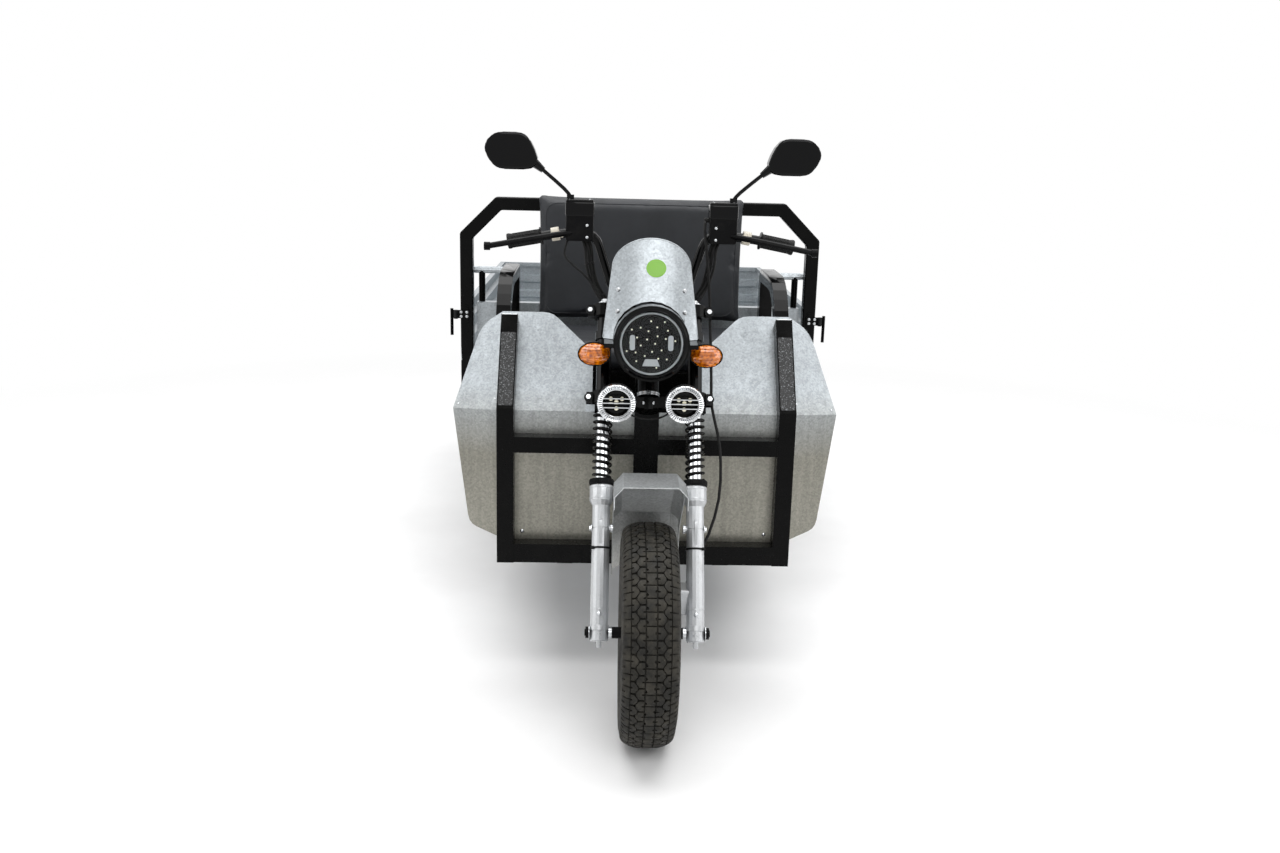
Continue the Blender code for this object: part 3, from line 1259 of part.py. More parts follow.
def chassis_frame():
    """Two rails with cross members, and the cheeks that hold the spring eyes."""
    frame = plate("chassis_frame", rail_outline(), RAIL_WIDTH, (RAIL_X, 0, 0), SIDE_VIEW)
    pieces = [plate("rail_right", rail_outline(), RAIL_WIDTH, (-RAIL_X, 0, 0), SIDE_VIEW)]
    inner = RAIL_X - RAIL_WIDTH / 2 + LAP
    low = LOW_RAIL_TOP - RAIL_HEIGHT + TUBE_INSET
    high = HIGH_RAIL_TOP - RAIL_HEIGHT + TUBE_INSET
    tall = RAIL_HEIGHT - 2 * TUBE_INSET
    stations = [(RAIL_FRONT + CROSS_SIZE, low), (SEAT_BOX_FRONT, low), (RISER_START - CROSS_SIZE, low),
                (WHEELBASE - LEAF_HALF_SPAN, high), (WHEELBASE + LEAF_HALF_SPAN, high),
                (RAIL_END - CROSS_SIZE, high)]
    for index, (station, height) in enumerate(stations):
        pieces.append(block(f"cross_member_{index}", (-inner, station - CROSS_SIZE / 2, height),
                            (inner, station + CROSS_SIZE / 2, height + tall)))
    for side in (LEFT, RIGHT):
        for end in (-1, 1):
            station = WHEELBASE + end * LEAF_HALF_SPAN
            eye = leaf_height(LEAF_HALF_SPAN)
            for cheek in (-1, 1):
                inside = side * RAIL_X + cheek * (LEAF_WIDTH / 2 + GAP)
                outside = inside + cheek * CHEEK
                pieces.append(block(f"spring_cheek_{side}_{end}_{cheek}",
                                    (min(inside, outside), station - LEAF_EYE_RADIUS, eye - LEAF_EYE_RADIUS),
                                    (max(inside, outside), station + LEAF_EYE_RADIUS,
                                     HIGH_RAIL_TOP - RAIL_HEIGHT / 2)))
            reach = LEAF_WIDTH / 2 + GAP + CHEEK / 2
            pieces.append(rod(f"spring_pin_{side}_{end}", LEAF_EYE_RADIUS / 2,
                              (side * RAIL_X - reach, station, eye),
                              (side * RAIL_X + reach, station, eye), 12))
            pieces.append(block(f"spring_hanger_{side}_{end}",
                                (side * RAIL_X - reach, station - LEAF_EYE_RADIUS + TUBE_INSET,
                                 eye + LEAF_EYE_RADIUS + CHEEK),
                                (side * RAIL_X + reach, station + LEAF_EYE_RADIUS - TUBE_INSET,
                                 HIGH_RAIL_TOP - RAIL_HEIGHT / 2)))
    fuse(frame, *pieces)
    return finish(frame, "black_enamel")


def floor_plate():
    """Sheet on the low rails with its side edges folded down."""
    top, half = FLOOR_TOP, FLOOR_HALF_WIDTH
    outline = [(-half, top), (-half, top - FLOOR_LIP), (FLOOR_SHEET - half, top - FLOOR_LIP),
               (FLOOR_SHEET - half, top - FLOOR_SHEET),
               (half - FLOOR_SHEET, top - FLOOR_SHEET), (half - FLOOR_SHEET, top - FLOOR_LIP),
               (half, top - FLOOR_LIP), (half, top)]
    start = RAIL_FRONT
    length = SEAT_BOX_BACK - start
    return finish(plate("floor_plate", outline, length, (0, start + length / 2, 0), FRONT_VIEW), "galvanised")


# Seat

def open_box(name, low, high, wall):
    """A box of sheet that is open underneath."""
    box = block(name, low, high)
    bm = bmesh.new()
    bm.from_mesh(box.data)
    bottom = [face for face in bm.faces if face.normal.z < -0.5]
    bmesh.ops.delete(bm, geom=bottom, context="FACES_ONLY")
    bm.to_mesh(box.data)
    bm.free()
    return thicken(box, wall)


def seat_parts():
    half = SEAT_BOX_HALF_WIDTH
    box = open_box("seat_box", (-half, SEAT_BOX_FRONT, FLOOR_TOP + GAP),
                   (half, SEAT_BOX_BACK, SEAT_BOX_TOP), SEAT_BOX_WALL)
    finish(box, "black_enamel")
    middle = (SEAT_BOX_FRONT + SEAT_BOX_BACK) / 2
    battery = block("battery_pack", (-BATTERY_WIDTH / 2, middle - BATTERY_DEPTH / 2, FLOOR_TOP + GAP),
                    (BATTERY_WIDTH / 2, middle + BATTERY_DEPTH / 2, FLOOR_TOP + GAP + BATTERY_HEIGHT))
    finish(battery, "cast_grey")
    cushion = block("seat_cushion", (-CUSHION_HALF_WIDTH, CUSHION_FRONT, SEAT_BOX_TOP + GAP),
                    (CUSHION_HALF_WIDTH, CUSHION_BACK, CUSHION_TOP))
    finish(round_edges(cushion, SOFT_ROUND, 3), "vinyl")
    backrest = block("seat_backrest", (-BACKREST_HALF_WIDTH, BACKREST_FACE, BACKREST_BOTTOM),
                     (BACKREST_HALF_WIDTH, HOOP_FACE - GAP, BACKREST_TOP))
    finish(round_edges(backrest, SOFT_ROUND, 3), "vinyl")


def armrest(side):
    """A loop of square tube: rear leg, flat top and a wide bend into the front leg."""
    tube_size, bend, rear = ARMREST_TUBE, ARMREST_BEND, ARMREST_REAR_BEND
    foot = SEAT_BOX_TOP + GAP
    front, back, top = ARMREST_FRONT - tube_size / 2, ARMREST_BACK, ARMREST_TOP
    outline = [(front, foot)] + arc((front + bend, top - bend), bend, 180, 90, 8)
    outline += arc((back - rear, top - rear), rear, 90, 0, 4) + [(back, foot), (back - tube_size, foot)]
    outline += arc((back - rear, top - rear), rear - tube_size, 0, 90, 4)
    outline += arc((front + bend, top - bend), bend - tube_size, 90, 180, 8) + [(front + tube_size, foot)]
    piece = plate(side_name("armrest", side), outline, tube_size, (side * ARMREST_X, 0, 0), SIDE_VIEW)
    return finish(piece, "gloss_black")


# Hoop and latches

def bed_hoop():
    """Square tube with two corners cut at 45 degrees, open at its feet."""
    half, size, corner, top, foot = HOOP_HALF_WIDTH, HOOP_TUBE, HOOP_CHAMFER, HOOP_TOP, HOOP_FOOT_Z
    pinch = size * math.tan(math.radians(22.5))
    outer = [(-half, foot), (-half, top - corner), (corner - half, top), (half - corner, top),
             (half, top - corner), (half, foot)]
    inner = [(half - size, foot), (half - size, top - corner - size + size - pinch),
             (half - corner - pinch, top - size),
             (corner + pinch - half, top - size), (size - half, top - corner - pinch), (size - half, foot)]
    hoop = plate("bed_hoop", outer + inner, size, (0, HOOP_FACE + size / 2, 0), FRONT_VIEW)
    return finish(round_edges(hoop, HOOP_ROUND, 1), "black_enamel")


def latch(side):
    """A plate on the upright, with a drop handle at its tip."""
    tip = LATCH_TIP - 2 * LATCH_ROD
    inner = tip - LATCH_PLATE_WIDTH
    face = HOOP_FACE - GAP
    low, high = LATCH_Z - LATCH_PLATE_HEIGHT / 2, LATCH_Z + LATCH_PLATE_HEIGHT / 2
    piece = block(side_name("latch", side),
                  (min(side * inner, side * (tip + LATCH_ROD)), face - LATCH_PLATE, low),
                  (max(side * inner, side * (tip + LATCH_ROD)), face, high))
    strap = block(piece.name + "_strap",
                  (min(side * (inner + LATCH_ROD), side * (inner + 4 * LATCH_ROD)), face - LATCH_PLATE / 2,
                   low - LATCH_PLATE_HEIGHT / 2),
                  (max(side * (inner + LATCH_ROD), side * (inner + 4 * LATCH_ROD)), face,
                   high + LATCH_PLATE_HEIGHT / 2))
    centre = side * (LATCH_TIP - LATCH_ROD)
    handle = rod(piece.name + "_handle", LATCH_ROD, (centre, face - LATCH_PLATE / 2, high + LATCH_ROD),
                 (centre, face - LATCH_PLATE / 2, low - LATCH_DROP + LATCH_PLATE_HEIGHT), 12)
    fuse(piece, strap, handle)
    return finish(piece, "black_enamel")


# Cargo bed

def walled(path, thickness):
    """Close an open path into the outline of a folded sheet, with its wall on the path's right."""
    points = [Vector((across, up, 0)) for across, up in path]
    normals = []
    for first, second in zip(points, points[1:]):
        run = (second - first).normalized()
        normals.append(Vector((run.y, -run.x, 0)))
    inner = []
    for index, point in enumerate(points):
        before, after = normals[max(0, index - 1)], normals[min(index, len(normals) - 1)]
        mitre = (before + after).normalized()
        inner.append(point + mitre * thickness / mitre.dot(after))
    return [(point.x, point.y) for point in points + list(reversed(inner))]


def bed_frame():
    """Square-tube frame with bearers and the fixed halves of the hinges."""
    half, size = BED_HALF_WIDTH, BED_TUBE
    low, high = BED_TUBE_BOTTOM, BED_TUBE_TOP
    frame = block("bed_frame", (half - size, BED_FRONT, low), (half, BED_BACK, high))
    pieces = [block("bed_tube_right", (-half, BED_FRONT, low), (size - half, BED_BACK, high))]
    inner = half - size + LAP
    bearers = [BED_FRONT + size / 2, BED_BACK - size / 2, WHEELBASE]
    bearers += [WHEELBASE - BEARER_SPACING, WHEELBASE + BEARER_SPACING]
    for index, station in enumerate(bearers):
        pieces.append(block(f"bed_bearer_{index}", (-inner, station - size / 2, low),
                            (inner, station + size / 2, high)))
    leaf = HINGE_LEAF / 2
    for index, station in enumerate(side_hinge_stations()):
        start, end = station + HINGE_PLAY / 2, station + HINGE_PLAY / 2 + HINGE_KNUCKLE
        for side in (LEFT, RIGHT):
            axis = side * SIDE_HINGE_X
            pieces.append(rod(f"knuckle_{side}_{index}", HINGE_RADIUS, (axis, start, HINGE_Z),
                              (axis, end, HINGE_Z), 8))
            edge = side * (half - LAP)
            pieces.append(block(f"hinge_leaf_{side}_{index}", (min(axis, edge), start, HINGE_Z - leaf),
                                (max(axis, edge), end, HINGE_Z + leaf)))
    for index, across in enumerate(tail_hinge_places()):
        start, end = across + HINGE_PLAY / 2, across + HINGE_PLAY / 2 + HINGE_KNUCKLE
        pieces.append(rod(f"tail_knuckle_{index}", HINGE_RADIUS, (start, TAIL_HINGE_Y, HINGE_Z),
                          (end, TAIL_HINGE_Y, HINGE_Z), 8))
        pieces.append(block(f"tail_hinge_leaf_{index}", (start, BED_BACK - LAP, HINGE_Z - leaf),
                            (end, TAIL_HINGE_Y, HINGE_Z + leaf)))
    fuse(frame, *pieces)
    return finish(frame, "black_enamel")


def side_hinge_stations():
    first, last = BED_FRONT + HINGE_INSET, BED_BACK - HINGE_INSET
    return [first, (first + last) / 2, last]


def tail_hinge_places():
    reach = BED_HALF_WIDTH - HINGE_INSET
    return [-reach, 0, reach]


def board_path(inner, outer):
    """Section of a pressed board from its lower to its upper lip, with two ribs pressed inwards."""
    rib = inner + (outer - inner) * BOARD_RIB_SHARE
    bottom, height = BOARD_BOTTOM, BOARD_TOP - BOARD_BOTTOM
    slant = abs(outer - rib) / 2
    path = [(inner, bottom), (outer, bottom)]
    for share in (RIB_LOW_SHARE, RIB_HIGH_SHARE):
        middle = bottom + height * share
        path += [(outer, middle - RIB_HALF - slant), (rib, middle - RIB_HALF), (rib, middle + RIB_HALF),
                 (outer, middle + RIB_HALF + slant)]
    return path + [(outer, BOARD_TOP), (inner, BOARD_TOP), (inner, BOARD_TOP - BOARD_LIP)]


def side_board(side):
    """A drop side with ribs and the moving halves of its hinges."""
    inner = BED_HALF_WIDTH + BOARD_CLEARANCE
    outline = walled(board_path(inner, inner + BOARD_THICKNESS), -BOARD_SKIN)
    start, end = HOOP_FACE + HOOP_TUBE + BOARD_END_GAP, BED_BACK + BOARD_CLEARANCE - BOARD_END_GAP
    board = plate(side_name("side_board", side), [(side * across, up) for across, up in outline], end - start,
                  (0, (start + end) / 2, 0), FRONT_VIEW)
    pieces = []
    for index, station in enumerate(side_hinge_stations()):
        low, high = station - HINGE_PLAY / 2 - HINGE_KNUCKLE, station - HINGE_PLAY / 2
        axis = side * SIDE_HINGE_X
        pieces.append(rod(f"{board.name}_knuckle_{index}", HINGE_RADIUS, (axis, low, HINGE_Z),
                          (axis, high, HINGE_Z), 8))
        pieces.append(block(f"{board.name}_leaf_{index}", (axis - HINGE_LEAF / 2, low, HINGE_Z),
                            (axis + HINGE_LEAF / 2, high, BOARD_BOTTOM + BOARD_SKIN / 2)))
    fuse(board, *pieces)
    hinge = new_empty(board.name + "_hinge", (side * SIDE_HINGE_X, (start + end) / 2, HINGE_Z), (0, 0, 0),
                      DATUM)
    return carry(finish(board, "galvanised"), hinge)


def tailgate():
    """The rear board, with the same section and hinges as the drop sides."""
    inner = BED_BACK + BOARD_CLEARANCE
    outline = walled(board_path(inner, inner + BOARD_THICKNESS), -BOARD_SKIN)
    gate = plate("tailgate", outline, 2 * TAILGATE_HALF_WIDTH, (0, 0, 0), SIDE_VIEW)
    pieces = []
    for index, across in enumerate(tail_hinge_places()):
        low, high = across - HINGE_PLAY / 2 - HINGE_KNUCKLE, across - HINGE_PLAY / 2
        pieces.append(rod(f"tailgate_knuckle_{index}", HINGE_RADIUS, (low, TAIL_HINGE_Y, HINGE_Z),
                          (high, TAIL_HINGE_Y, HINGE_Z), 8))
        pieces.append(block(f"tailgate_leaf_{index}", (low, TAIL_HINGE_Y - HINGE_LEAF / 2, HINGE_Z),
                            (high, TAIL_HINGE_Y + HINGE_LEAF / 2, BOARD_BOTTOM + BOARD_SKIN / 2)))
    fuse(gate, *pieces)
    hinge = new_empty("tailgate_hinge", (0, TAIL_HINGE_Y, HINGE_Z), (0, 0, 0), DATUM)
    return carry(finish(gate, "galvanised"), hinge)


def bed_front_board():
    """Fixed sheet behind the hoop, with a guard rail on each side of its top flange."""
    foot = BED_FLOOR_Z + GAP
    path = [(BED_FRONT, foot), (BED_FRONT, FRONT_BOARD_TOP),
            (BED_FRONT + FRONT_BOARD_FLANGE, FRONT_BOARD_TOP),
            (BED_FRONT + FRONT_BOARD_FLANGE, FRONT_BOARD_TOP - BOARD_LIP)]
    board = plate("bed_front_board", walled(path, BED_SHEET), 2 * FRONT_BOARD_HALF_WIDTH, (0, 0, 0),
                  SIDE_VIEW)
    station = BED_FRONT + FRONT_BOARD_FLANGE / 2
    level = GUARD_TOP - GUARD_TUBE_RADIUS
    pieces = []
    for side in (LEFT, RIGHT):
        path = [(side * GUARD_INNER_X, station, FRONT_BOARD_TOP - BED_SHEET / 2),
                (side * GUARD_INNER_X, station, level),
                (side * GUARD_END_X, station, level)]
        pieces.append(tube(side_name("guard", side), filleted(path, GUARD_BEND, 4), GUARD_TUBE_RADIUS))
        pieces.append(rod(side_name("guard_post", side), GUARD_POST_RADIUS,
                          (side * GUARD_OUTER_X, station, FRONT_BOARD_TOP - BED_SHEET / 2),
                          (side * GUARD_OUTER_X, station, level), 12))
    fuse(board, *pieces)
    return finish(board, "galvanised")


def bed_floor():
    return finish(block("bed_floor", (-BED_HALF_WIDTH, BED_FRONT, BED_FLOOR_Z - BED_SHEET),
                        (BED_HALF_WIDTH, BED_BACK, BED_FLOOR_Z)), "galvanised")


# Rear axle, springs and what hangs at the back

def rear_axle():
    """Axle tube with the differential, the motor bolted to it, spring seats and end flanges."""
    level = TYRE_RADIUS
    hub_face = REAR_TRACK_HALF - HUB_LENGTH / 2
    tube_end = hub_face - AXLE_FLANGE - WHEEL_CLEARANCE
    axle = rod("rear_axle", AXLE_TUBE_RADIUS, (-tube_end, WHEELBASE, level), (tube_end, WHEELBASE, level), 16)
    half, radius = DIFF_HALF_WIDTH, DIFF_RADIUS
    bowl = [(0, -half), (radius / 2, -half), (radius, -half / 2), (radius, half / 2), (radius / 2, half),
            (0, half)]
    pieces = [turned("differential", bowl, (0, WHEELBASE, level), ACROSS, 20)]
    motor = (0, WHEELBASE - MOTOR_AHEAD, level)
    pieces.append(rod("motor", MOTOR_RADIUS, (motor[0] - MOTOR_HALF_LENGTH, *motor[1:]),
                      (motor[0] + MOTOR_HALF_LENGTH, *motor[1:]), 20))
    for side in (LEFT, RIGHT):
        pieces.append(rod(side_name("axle_flange", side), FLANGE_RADIUS,
                          (side * (tube_end - LAP), WHEELBASE, level),
                          (side * (hub_face - WHEEL_CLEARANCE), WHEELBASE, level), 16))
        tip = REAR_TRACK_HALF + HUB_LENGTH / 2 + WHEEL_CLEARANCE + AXLE_NUT_LENGTH
        pieces.append(rod(side_name("stub_shaft", side), AXLE_RADIUS, (side * tube_end, WHEELBASE, level),
                          (side * tip, WHEELBASE, level), 16))
        pieces.append(rod(side_name("shaft_nut", side), AXLE_NUT_RADIUS,
                          (side * (tip - AXLE_NUT_LENGTH), WHEELBASE, level),
                          (side * (tip - OVERRUN), WHEELBASE, level), 6))
        centre = side * RAIL_X
        pieces.append(block(side_name("spring_seat", side),
                            (centre - LEAF_WIDTH / 2, WHEELBASE - SEAT_PAD / 2, level),
                            (centre + LEAF_WIDTH / 2, WHEELBASE + SEAT_PAD / 2,
                             level + AXLE_TUBE_RADIUS + SPRING_SEAT)))
    fuse(axle, *pieces)
    return finish(axle, "black_enamel")


def leaf_spring_outline():
    """Side view of the whole pack: one top line, and a step down where each leaf ends."""
    top = []
    for step in range(LEAF_STEPS + 1):
        along = LEAF_HALF_SPAN * (2 * step / LEAF_STEPS - 1)
        top.append((WHEELBASE + along, leaf_height(along) + LEAF_THICKNESS / 2))
    ends = [LEAF_HALF_SPAN - LEAF_STEP * index for index in range(LEAF_COUNT)]
    right = []
    for index, end in enumerate(ends):
        inner_end = ends[index + 1] if index + 1 < LEAF_COUNT else SEAT_PAD / 2
        drop = LEAF_THICKNESS * (index + 0.5)
        for step in range(LEAF_SPAN_STEPS + 1):
            along = end + (inner_end - end) * step / LEAF_SPAN_STEPS
            right.append((along, leaf_height(along) - drop))
    bottom = [(WHEELBASE + along, height) for along, height in right]
    bottom += [(WHEELBASE - along, height) for along, height in reversed(right)]
    return top + bottom


def leaf_spring(side):
    """Stepped pack of leaves with an eye at both ends of the longest leaf."""
    centre = side * RAIL_X
    spring = plate(side_name("leaf_spring", side), leaf_spring_outline(), LEAF_WIDTH, (centre, 0, 0),
                   SIDE_VIEW)
    eyes, bores = [], []
    for end in (-1, 1):
        station, height = WHEELBASE + end * LEAF_HALF_SPAN, leaf_height(LEAF_HALF_SPAN)
        half = LEAF_WIDTH / 2
        eyes.append(rod(f"{spring.name}_eye_{end}", LEAF_EYE_RADIUS, (centre - half, station, height),
                        (centre + half, station, height), 16))
        bores.append(rod(f"{spring.name}_bore_{end}", LEAF_EYE_RADIUS / 2 + GAP,
                         (centre - half - OVERRUN, station, height),
                         (centre + half + OVERRUN, station, height), 12))
    fuse(spring, *eyes)
    cut(spring, *bores)
    return finish(spring, "black_enamel")


def mudguard(side):
    """A curved guard over the rear wheel, with a bracket up to the bed's bearer."""
    radius = TYRE_RADIUS + MUDGUARD_CLEARANCE
    centre = (WHEELBASE, TYRE_RADIUS)
    outline = arc(centre, radius + MUDGUARD_SHEET, MUDGUARD_START, 180 - MUDGUARD_START, MUDGUARD_STEPS)
    outline += arc(centre, radius, 180 - MUDGUARD_START, MUDGUARD_START, MUDGUARD_STEPS)
    guard = plate(side_name("mudguard", side), outline, MUDGUARD_WIDTH, (side * REAR_TRACK_HALF, 0, 0),
                  SIDE_VIEW)
    half = MUDGUARD_BRACKET / 2
    bracket = block(guard.name + "_bracket",
                    (side * REAR_TRACK_HALF - half, WHEELBASE - half,
                     TYRE_RADIUS + radius + MUDGUARD_SHEET / 2),
                    (side * REAR_TRACK_HALF + half, WHEELBASE + half, BED_TUBE_BOTTOM - GAP))
    fuse(guard, bracket)
    return finish(guard, "black_enamel")


def tail_lamp(side):
    half = TAIL_LAMP_WIDTH / 2
    lamp = block(side_name("tail_lamp", side),
                 (side * TAIL_LAMP_X - half, BED_BACK - TAIL_LAMP_DEPTH, HIGH_RAIL_TOP - TAIL_LAMP_HEIGHT),
                 (side * TAIL_LAMP_X + half, BED_BACK, HIGH_RAIL_TOP))
    return finish(round_edges(lamp, CALIPER_ROUND), "red_lens")


def steering_group():
    front_wheel()
    front_axle()
    for side in (LEFT, RIGHT):
        fork_leg(side)
        fork_upper(side)
        fork_spring(side)
        indicator(side)
        fog_lamp(side)
        hand_control(side)
        mirror(side)
    yokes()
    fender()
    headlamp()
    cowl()
    handlebar()
    brake_hose()


def body_group():
    front_frame()
    chassis_frame()
    floor_plate()
    seat_parts()
    bed_hoop()
    bed_frame()
    bed_floor()
    bed_front_board()
    tailgate()
    rear_axle()
    rear_wheels()
    for side in (LEFT, RIGHT):
        shield_sheet(side)
        armrest(side)
        latch(side)
        side_board(side)
        leaf_spring(side)
        mudguard(side)
        tail_lamp(side)


steering_group()
body_group()
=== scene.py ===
"""Looks of the cargo motor tricycle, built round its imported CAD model.

The vehicle faces -Y, +X is its left and Z is up, in metres. A "station" is a distance behind the
front axle, and the fork's own directions are across, behind and along its legs.
"""
import math

import bmesh
import bpy
from mathutils import Euler, Matrix, Vector
from mathutils.bvhtree import BVHTree


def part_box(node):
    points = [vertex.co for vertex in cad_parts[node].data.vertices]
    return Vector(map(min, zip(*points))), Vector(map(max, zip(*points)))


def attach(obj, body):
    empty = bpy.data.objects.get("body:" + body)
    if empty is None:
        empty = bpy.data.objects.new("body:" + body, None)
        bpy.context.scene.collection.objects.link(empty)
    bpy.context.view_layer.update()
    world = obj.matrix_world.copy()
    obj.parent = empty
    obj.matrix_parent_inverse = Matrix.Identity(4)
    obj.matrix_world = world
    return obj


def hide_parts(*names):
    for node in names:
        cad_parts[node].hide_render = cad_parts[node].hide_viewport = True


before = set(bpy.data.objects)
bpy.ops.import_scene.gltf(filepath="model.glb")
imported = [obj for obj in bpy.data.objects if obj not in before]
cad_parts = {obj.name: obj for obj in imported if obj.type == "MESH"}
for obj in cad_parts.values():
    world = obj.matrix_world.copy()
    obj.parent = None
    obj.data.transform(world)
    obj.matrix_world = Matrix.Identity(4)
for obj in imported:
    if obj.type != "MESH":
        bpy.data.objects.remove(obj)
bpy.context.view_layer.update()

# Sizes shared with the CAD model
FRONT_Y = -1.1929
REAR_AXLE, REAR_WHEEL_AT = 1.950, 0.465
TYRE_R = 0.250
RAKE = math.radians(28.0)
FORK_OFFSET, FORK_HALF = 0.055, 0.1085
LOWER_YOKE, UPPER_YOKE = 0.545, 0.762

LEFT, RIGHT = 1, -1
SIDES = ((LEFT, "left"), (RIGHT, "right"))
UP, DOWN = Vector((0, 0, 1)), Vector((0, 0, -1))
FORWARD, BACKWARD = Vector((0, -1, 0)), Vector((0, 1, 0))


def fork(across, behind, along):
    """A point given in the fork's directions, from the front axle."""
    lean, rise = math.sin(RAKE), math.cos(RAKE)
    return Vector((across, FRONT_Y + along * lean + behind * rise,
                   TYRE_R + along * rise - behind * lean))


def at(across, station, height):
    """A point given by its station."""
    return Vector((across, FRONT_Y + station, height))


AHEAD = fork(0, -1, 0) - fork(0, 0, 0)
ALONG = fork(0, 0, 1) - fork(0, 0, 0)


# Materials

# Places of the Mix node's sockets for colours
SHARE, UNDER, OVER, MIXED = 0, 6, 7, 2


def linear(code):
    """An sRGB hex colour as linear RGBA."""
    parts = [int(code[i:i + 2], 16) / 255 for i in (0, 2, 4)]
    return (*[c / 12.92 if c <= 0.04045 else ((c + 0.055) / 1.055) ** 2.4 for c in parts], 1)


def node(tree, kind, inputs=None, stops=(), **settings):
    """Add a node and give its outputs. An input is a value, or a socket to link from, and a ramp's
    stops are pairs of a position and a tone or hex colour."""
    made = tree.nodes.new("ShaderNode" + kind)
    for key, value in settings.items():
        setattr(made, key, value)
    for key, value in (inputs or {}).items():
        if isinstance(value, bpy.types.NodeSocket):
            tree.links.new(value, made.inputs[key])
        else:
            made.inputs[key].default_value = value
    if stops:
        elements = made.color_ramp.elements
        while len(elements) < len(stops):
            elements.new(0.5)
        for element, (position, tone) in zip(elements, stops):
            element.position = position
            element.color = linear(tone) if isinstance(tone, str) else (tone, tone, tone, 1)
    return made.outputs


def base_material(name, colour, roughness, metallic=0.0, **more):
    """A material whose shader has its own values set, to link patterns to."""
    material = bpy.data.materials.new(name)
    material.use_nodes = True
    tree = material.node_tree
    shader = tree.nodes["Principled BSDF"]
    shader.inputs["Base Color"].default_value = linear(colour)
    shader.inputs["Roughness"].default_value = roughness
    shader.inputs["Metallic"].default_value = metallic
    for key, value in more.items():
        shader.inputs[key.replace("_", " ")].default_value = value
    return material, tree, shader


def per_metre(millimetres):
    """A pattern's scale from the real size of its marks."""
    return 1000 / millimetres


def object_space(tree, stretch=(1, 1, 1)):
    """Coordinates of the object, in metres, or stretched."""
    place = node(tree, "TexCoord")["Object"]
    return node(tree, "Mapping", {"Vector": place, "Scale": stretch})["Vector"]


def mottle(tree, place, size, stops, detail=4, contrast=0.6):
    """Soft uneven marks of a size in millimetres, spread over tones or colours."""
    marks = node(tree, "TexNoise", {"Vector": place, "Scale": per_metre(size), "Detail": detail,
                                    "Roughness": contrast})["Fac"]
    return node(tree, "ValToRGB", {"Fac": marks}, stops)["Color"]


def soil(tree, shader, place, size, stops, clean, dirt):
    """Dirt over a clean colour, in patches of a size in millimetres."""
    share = mottle(tree, place, size, stops, 8, 0.7)
    tone = node(tree, "Mix", {SHARE: share, UNDER: clean, OVER: linear(dirt)}, data_type="RGBA")
    tree.links.new(tone[MIXED], shader.inputs["Base Color"])


def wander(tree, shader, place, size, stops, detail):
    """A gloss that differs in patches of a size in millimetres."""
    tree.links.new(mottle(tree, place, size, stops, detail), shader.inputs["Roughness"])


def relief(tree, shader, place, size, detail, strength, depth):
    """Soft rises and dips of a size in millimetres, added to those that the surface already has."""
    marks = node(tree, "TexNoise", {"Vector": place, "Scale": per_metre(size), "Detail": detail,
                                    "Roughness": 0.6})["Fac"]
    inputs = {"Height": marks, "Strength": strength, "Distance": depth}
    normal = shader.inputs["Normal"]
    if normal.is_linked:
        inputs["Normal"] = normal.links[0].from_socket
    tree.links.new(node(tree, "Bump", inputs)["Normal"], normal)


def galvanised(name, colour="b9bfc3", low=None, streaks=0.12):
    """Hot-dip zinc on sheet steel. The eye sees small crystals that differ in tone and gloss, streaks
    where the zinc ran down, cloudy patches, and a sheet that isn't quite flat. The crystals have
    their real size. Low is (height of darker zinc, height of bright zinc, darker colour)."""
    roughness, crystal, streak_width, streak_length, patch, buckle = 0.34, 3.85, 16.7, 250, 143, 125
    material, tree, shader = base_material(name, colour, roughness, 0.85)
    place = object_space(tree)
    cells = node(tree, "TexVoronoi", {"Vector": place, "Scale": per_metre(crystal)})["Color"]
    grain = node(tree, "SeparateColor", {"Color": cells})
    shade = node(tree, "ValToRGB", {"Fac": grain["Red"]}, [(0.0, 0.74), (1.0, 1.0)])["Color"]
    # A space in which one streak measures a metre each way
    hung = object_space(tree, [per_metre(size) for size in (streak_width, streak_width, streak_length)])
    zinc = linear(colour)
    # Zinc darker towards the bottom; on the leg shield this is painted shade
    if low:
        darker_height, bright_height, darker_colour = low
        height = node(tree, "SeparateXYZ", {"Vector": place})["Z"]
        heights = [(darker_height, darker_colour), (bright_height, colour)]
        zinc = node(tree, "ValToRGB", {"Fac": height}, heights)["Color"]
    for layer in (mottle(tree, hung, 1000, [(0.30, 1.0 - streaks), (0.70, 1.0)], 5),
                  mottle(tree, place, patch, [(0.3, 0.90), (0.7, 1.0)], 6), zinc):
        shade = node(tree, "Mix", {SHARE: 1.0, UNDER: shade, OVER: layer}, data_type="RGBA",
                     blend_type="MULTIPLY")[MIXED]
    tree.links.new(shade, shader.inputs["Base Color"])
    gloss = node(tree, "ValToRGB", {"Fac": grain["Green"]},
                 [(0.0, roughness - 0.02), (1.0, roughness + 0.10)])
    tree.links.new(gloss["Color"], shader.inputs["Roughness"])
    relief(tree, shader, place, crystal, 3, 0.10, 0.0003)
    relief(tree, shader, place, buckle, 2, 0.20, 0.0015)
    return material


def enamel(name, colour="020202", roughness=0.26, dust=0.01, shine=0.09):
    """Enamel sprayed on steel. The eye sees deep black with orange peel, a gloss that wanders and a
    breath of dust. The peel is drawn at about three times its real 0.8 mm, to show."""
    peel, dust_patch, gloss_patch = 2.38, 55.6, 33.3
    material, tree, shader = base_material(name, colour, roughness, Specular_IOR_Level=shine)
    place = object_space(tree)
    soil(tree, shader, place, dust_patch, [(0.50, 0.0), (0.80, dust)], linear(colour), "8d8a84")
    wander(tree, shader, place, gloss_patch, [(0.3, roughness - 0.06), (0.8, roughness + 0.12)], 6)
    relief(tree, shader, place, peel, 2, 0.08, 0.0003)
    return material


